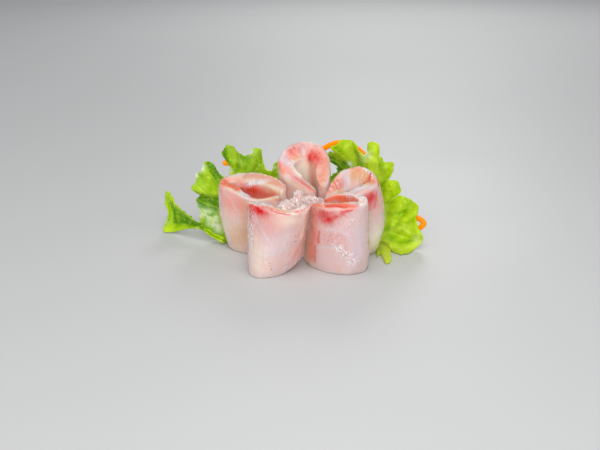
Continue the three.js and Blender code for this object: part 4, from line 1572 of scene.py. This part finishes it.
@dataclass
class CarrotStrand:
    """A strand of carrot along a curve.

    Attributes:
        side: where it is, in its own name and that of the CAD node that it stands for.
        path: the curve through its middle.
        height: its section's height.
        width: its section's width.
        sides: points round the section.
        step: how far apart the sections are.
        rounding: how long the rounded ends are.
        squareness: the power that makes the section square, where 1 gives an ellipse.
    """

    side: str
    path: Path
    height: float = 2.5
    width: float = 2.0
    sides: int = 20
    step: float = 0.3
    rounding: float = 0.7
    squareness: float = 0.7

    def build(self) -> Object:
        """Wraps a sheet round the curve and closes its ends.

        Returns:
            The finished piece.
        """
        curve = Curve(self.path)
        steps = int(curve.length() / self.step)
        piece = Bench.grid(f"{self.side}_carrot", steps, self.sides)
        sheet = Bench.points(piece)
        t, round_it = sheet[:, 0] + 0.5, (sheet[:, 1] + 0.5) * 2 * math.pi
        middle, along = curve.at(t), curve.heading(t)
        side = np.cross(along, np.array([0.0, 1.0, 0.0]))
        side /= np.linalg.norm(side, axis=1, keepdims=True)
        other = np.cross(side, along)
        to_end = np.minimum(t, 1 - t) * curve.length()
        cap = np.sqrt(np.clip(1 - np.clip(1 - to_end / self.rounding, 0, 1) ** 2, 1e-6, 1))
        taper = (0.6 + 0.4 * np.minimum(1, 8 * np.minimum(t, 1 - t))) * cap
        x, y = (np.sign(f) * np.abs(f) ** self.squareness for f in (np.cos(round_it), np.sin(round_it)))
        size = taper * (1 + UNEVEN.at(middle + np.column_stack([x, y, x])))
        places = middle + side * (x * self.height / 2 * size)[:, None]
        places += other * (y * self.width / 2 * size)[:, None]
        Bench.place(piece, places)
        Bench.close(piece, 2e-6)
        return piece


def carrots() -> list[CarrotStrand]:
    """The three strands of carrot."""
    return [
        CarrotStrand("top", [
            [7.5, 36.6, 39.2], [11, 36.6, 42.4], [15.4, 35.4, 44.9], [19.8, 33.8, 45.9], [24.5, 32.2, 44.7],
            [28.7, 31.4, 41.6], [31.5, 31, 38.3]]),
        CarrotStrand("left", [[-36.4, 39.6, 34.9], [-32.4, 39.6, 34.5], [-27, 39.2, 33.4]]),
        CarrotStrand("right", [
            [50.6, 22.8, 14.2], [54.2, 22.4, 13.1], [57.1, 21.8, 10.9], [55.6, 21.8, 8.6], [51.5, 22.3, 7.2]]),
    ]


# --- The studio ---


@dataclass(frozen=True)
class Softbox:
    """A soft studio light.

    Attributes:
        name: its name.
        place: where it stands, in metres.
        size: its side, in metres.
        power: its power, in watts.
    """

    name: str
    place: Sequence[float]
    size: float
    power: float

    def hang(self) -> None:
        """Adds the light, facing the serving."""
        data = bpy.data.lights.new(self.name, "AREA")
        data.shape = "SQUARE"
        data.size, data.energy = self.size, self.power
        light = Bench.add(self.name, data)
        light.location = self.place
        light.rotation_euler = (AIM - Vector(self.place)).to_track_quat("-Z", "Y").to_euler()


@dataclass
class Studio:
    """The floor, the lights and the camera.

    Attributes:
        boxes: the softboxes.
        floor: the side of the floor, in metres.
        sky: the strength of the even light all round.
        sky_colour: its colour.
        eye: where the camera stands, in metres.
        lens: its focal length, in millimetres.
        sensor: the width of its sensor, in millimetres.
    """

    boxes: Sequence[Softbox] = (
        Softbox("overhead_light", (-0.05, 0.0, 0.75), 0.4, 1.45),
        Softbox("left_light", (-0.5, -0.5, 0.45), 0.4, 0.85),
        Softbox("right_light", (0.55, -0.35, 0.5), 0.4, 0.7),
        Softbox("front_light", (0.05, -0.55, 0.65), 0.25, 1.0),
        Softbox("fill_light", (0.0, -0.8, 0.32), 0.5, 2.9),
        Softbox("back_light", (0.1, 0.8, 0.35), 0.25, 1.2),
    )
    floor: float = 6.0
    sky: float = 0.32
    sky_colour: Sequence[float] = (0.93, 0.96, 1.0, 1.0)
    eye: Sequence[float] = (0.0036, -0.6159, 0.2010)
    lens: float = 85.0
    sensor: float = 36.0

    def build(self) -> None:
        """Sets up the studio."""
        Bench.clear()
        bpy.ops.mesh.primitive_plane_add(size=self.floor)
        floor = bpy.context.object
        floor.name = "floor"
        floor.data.materials.append(FloorFinish("pale_floor").material())
        world = bpy.data.worlds.new("studio")
        world.use_nodes = True
        background = world.node_tree.nodes["Background"]
        background.inputs[0].default_value = self.sky_colour
        background.inputs[1].default_value = self.sky
        bpy.context.scene.world = world
        for box in self.boxes:
            box.hang()
        data = bpy.data.cameras.new("camera")
        data.lens, data.sensor_width = self.lens, self.sensor
        camera = Bench.add("camera", data)
        camera.location = self.eye
        camera.rotation_euler = (math.pi / 2 - LEAN, 0, 0)
        bpy.context.scene.camera = camera
        bpy.context.scene.view_settings.view_transform = "Standard"


def main() -> None:
    """Builds the serving, piece by piece, and the studio round it."""
    logging.basicConfig(level=logging.INFO, format="%(message)s")
    blank = Blank()
    slab = blank.cut()
    flesh = FleshFinish("fish_flesh").material()
    for one in slices():
        Bench.dress(one.build(blank, slab), flesh, "fish", f"slice_{one.side}")
    bpy.data.objects.remove(slab)
    Mound().build()
    green = LeafFinish("lettuce_leaf").material()
    for leaf in leaves():
        Bench.dress(leaf.build(), green, "lettuce", f"lettuce_{leaf.side}")
    orange = CarrotFinish("carrot_flesh").material()
    for strand in carrots():
        Bench.dress(strand.build(), orange, "carrot", f"carrot_{strand.side}")
    Studio().build()


if __name__ == "__main__":
    main()
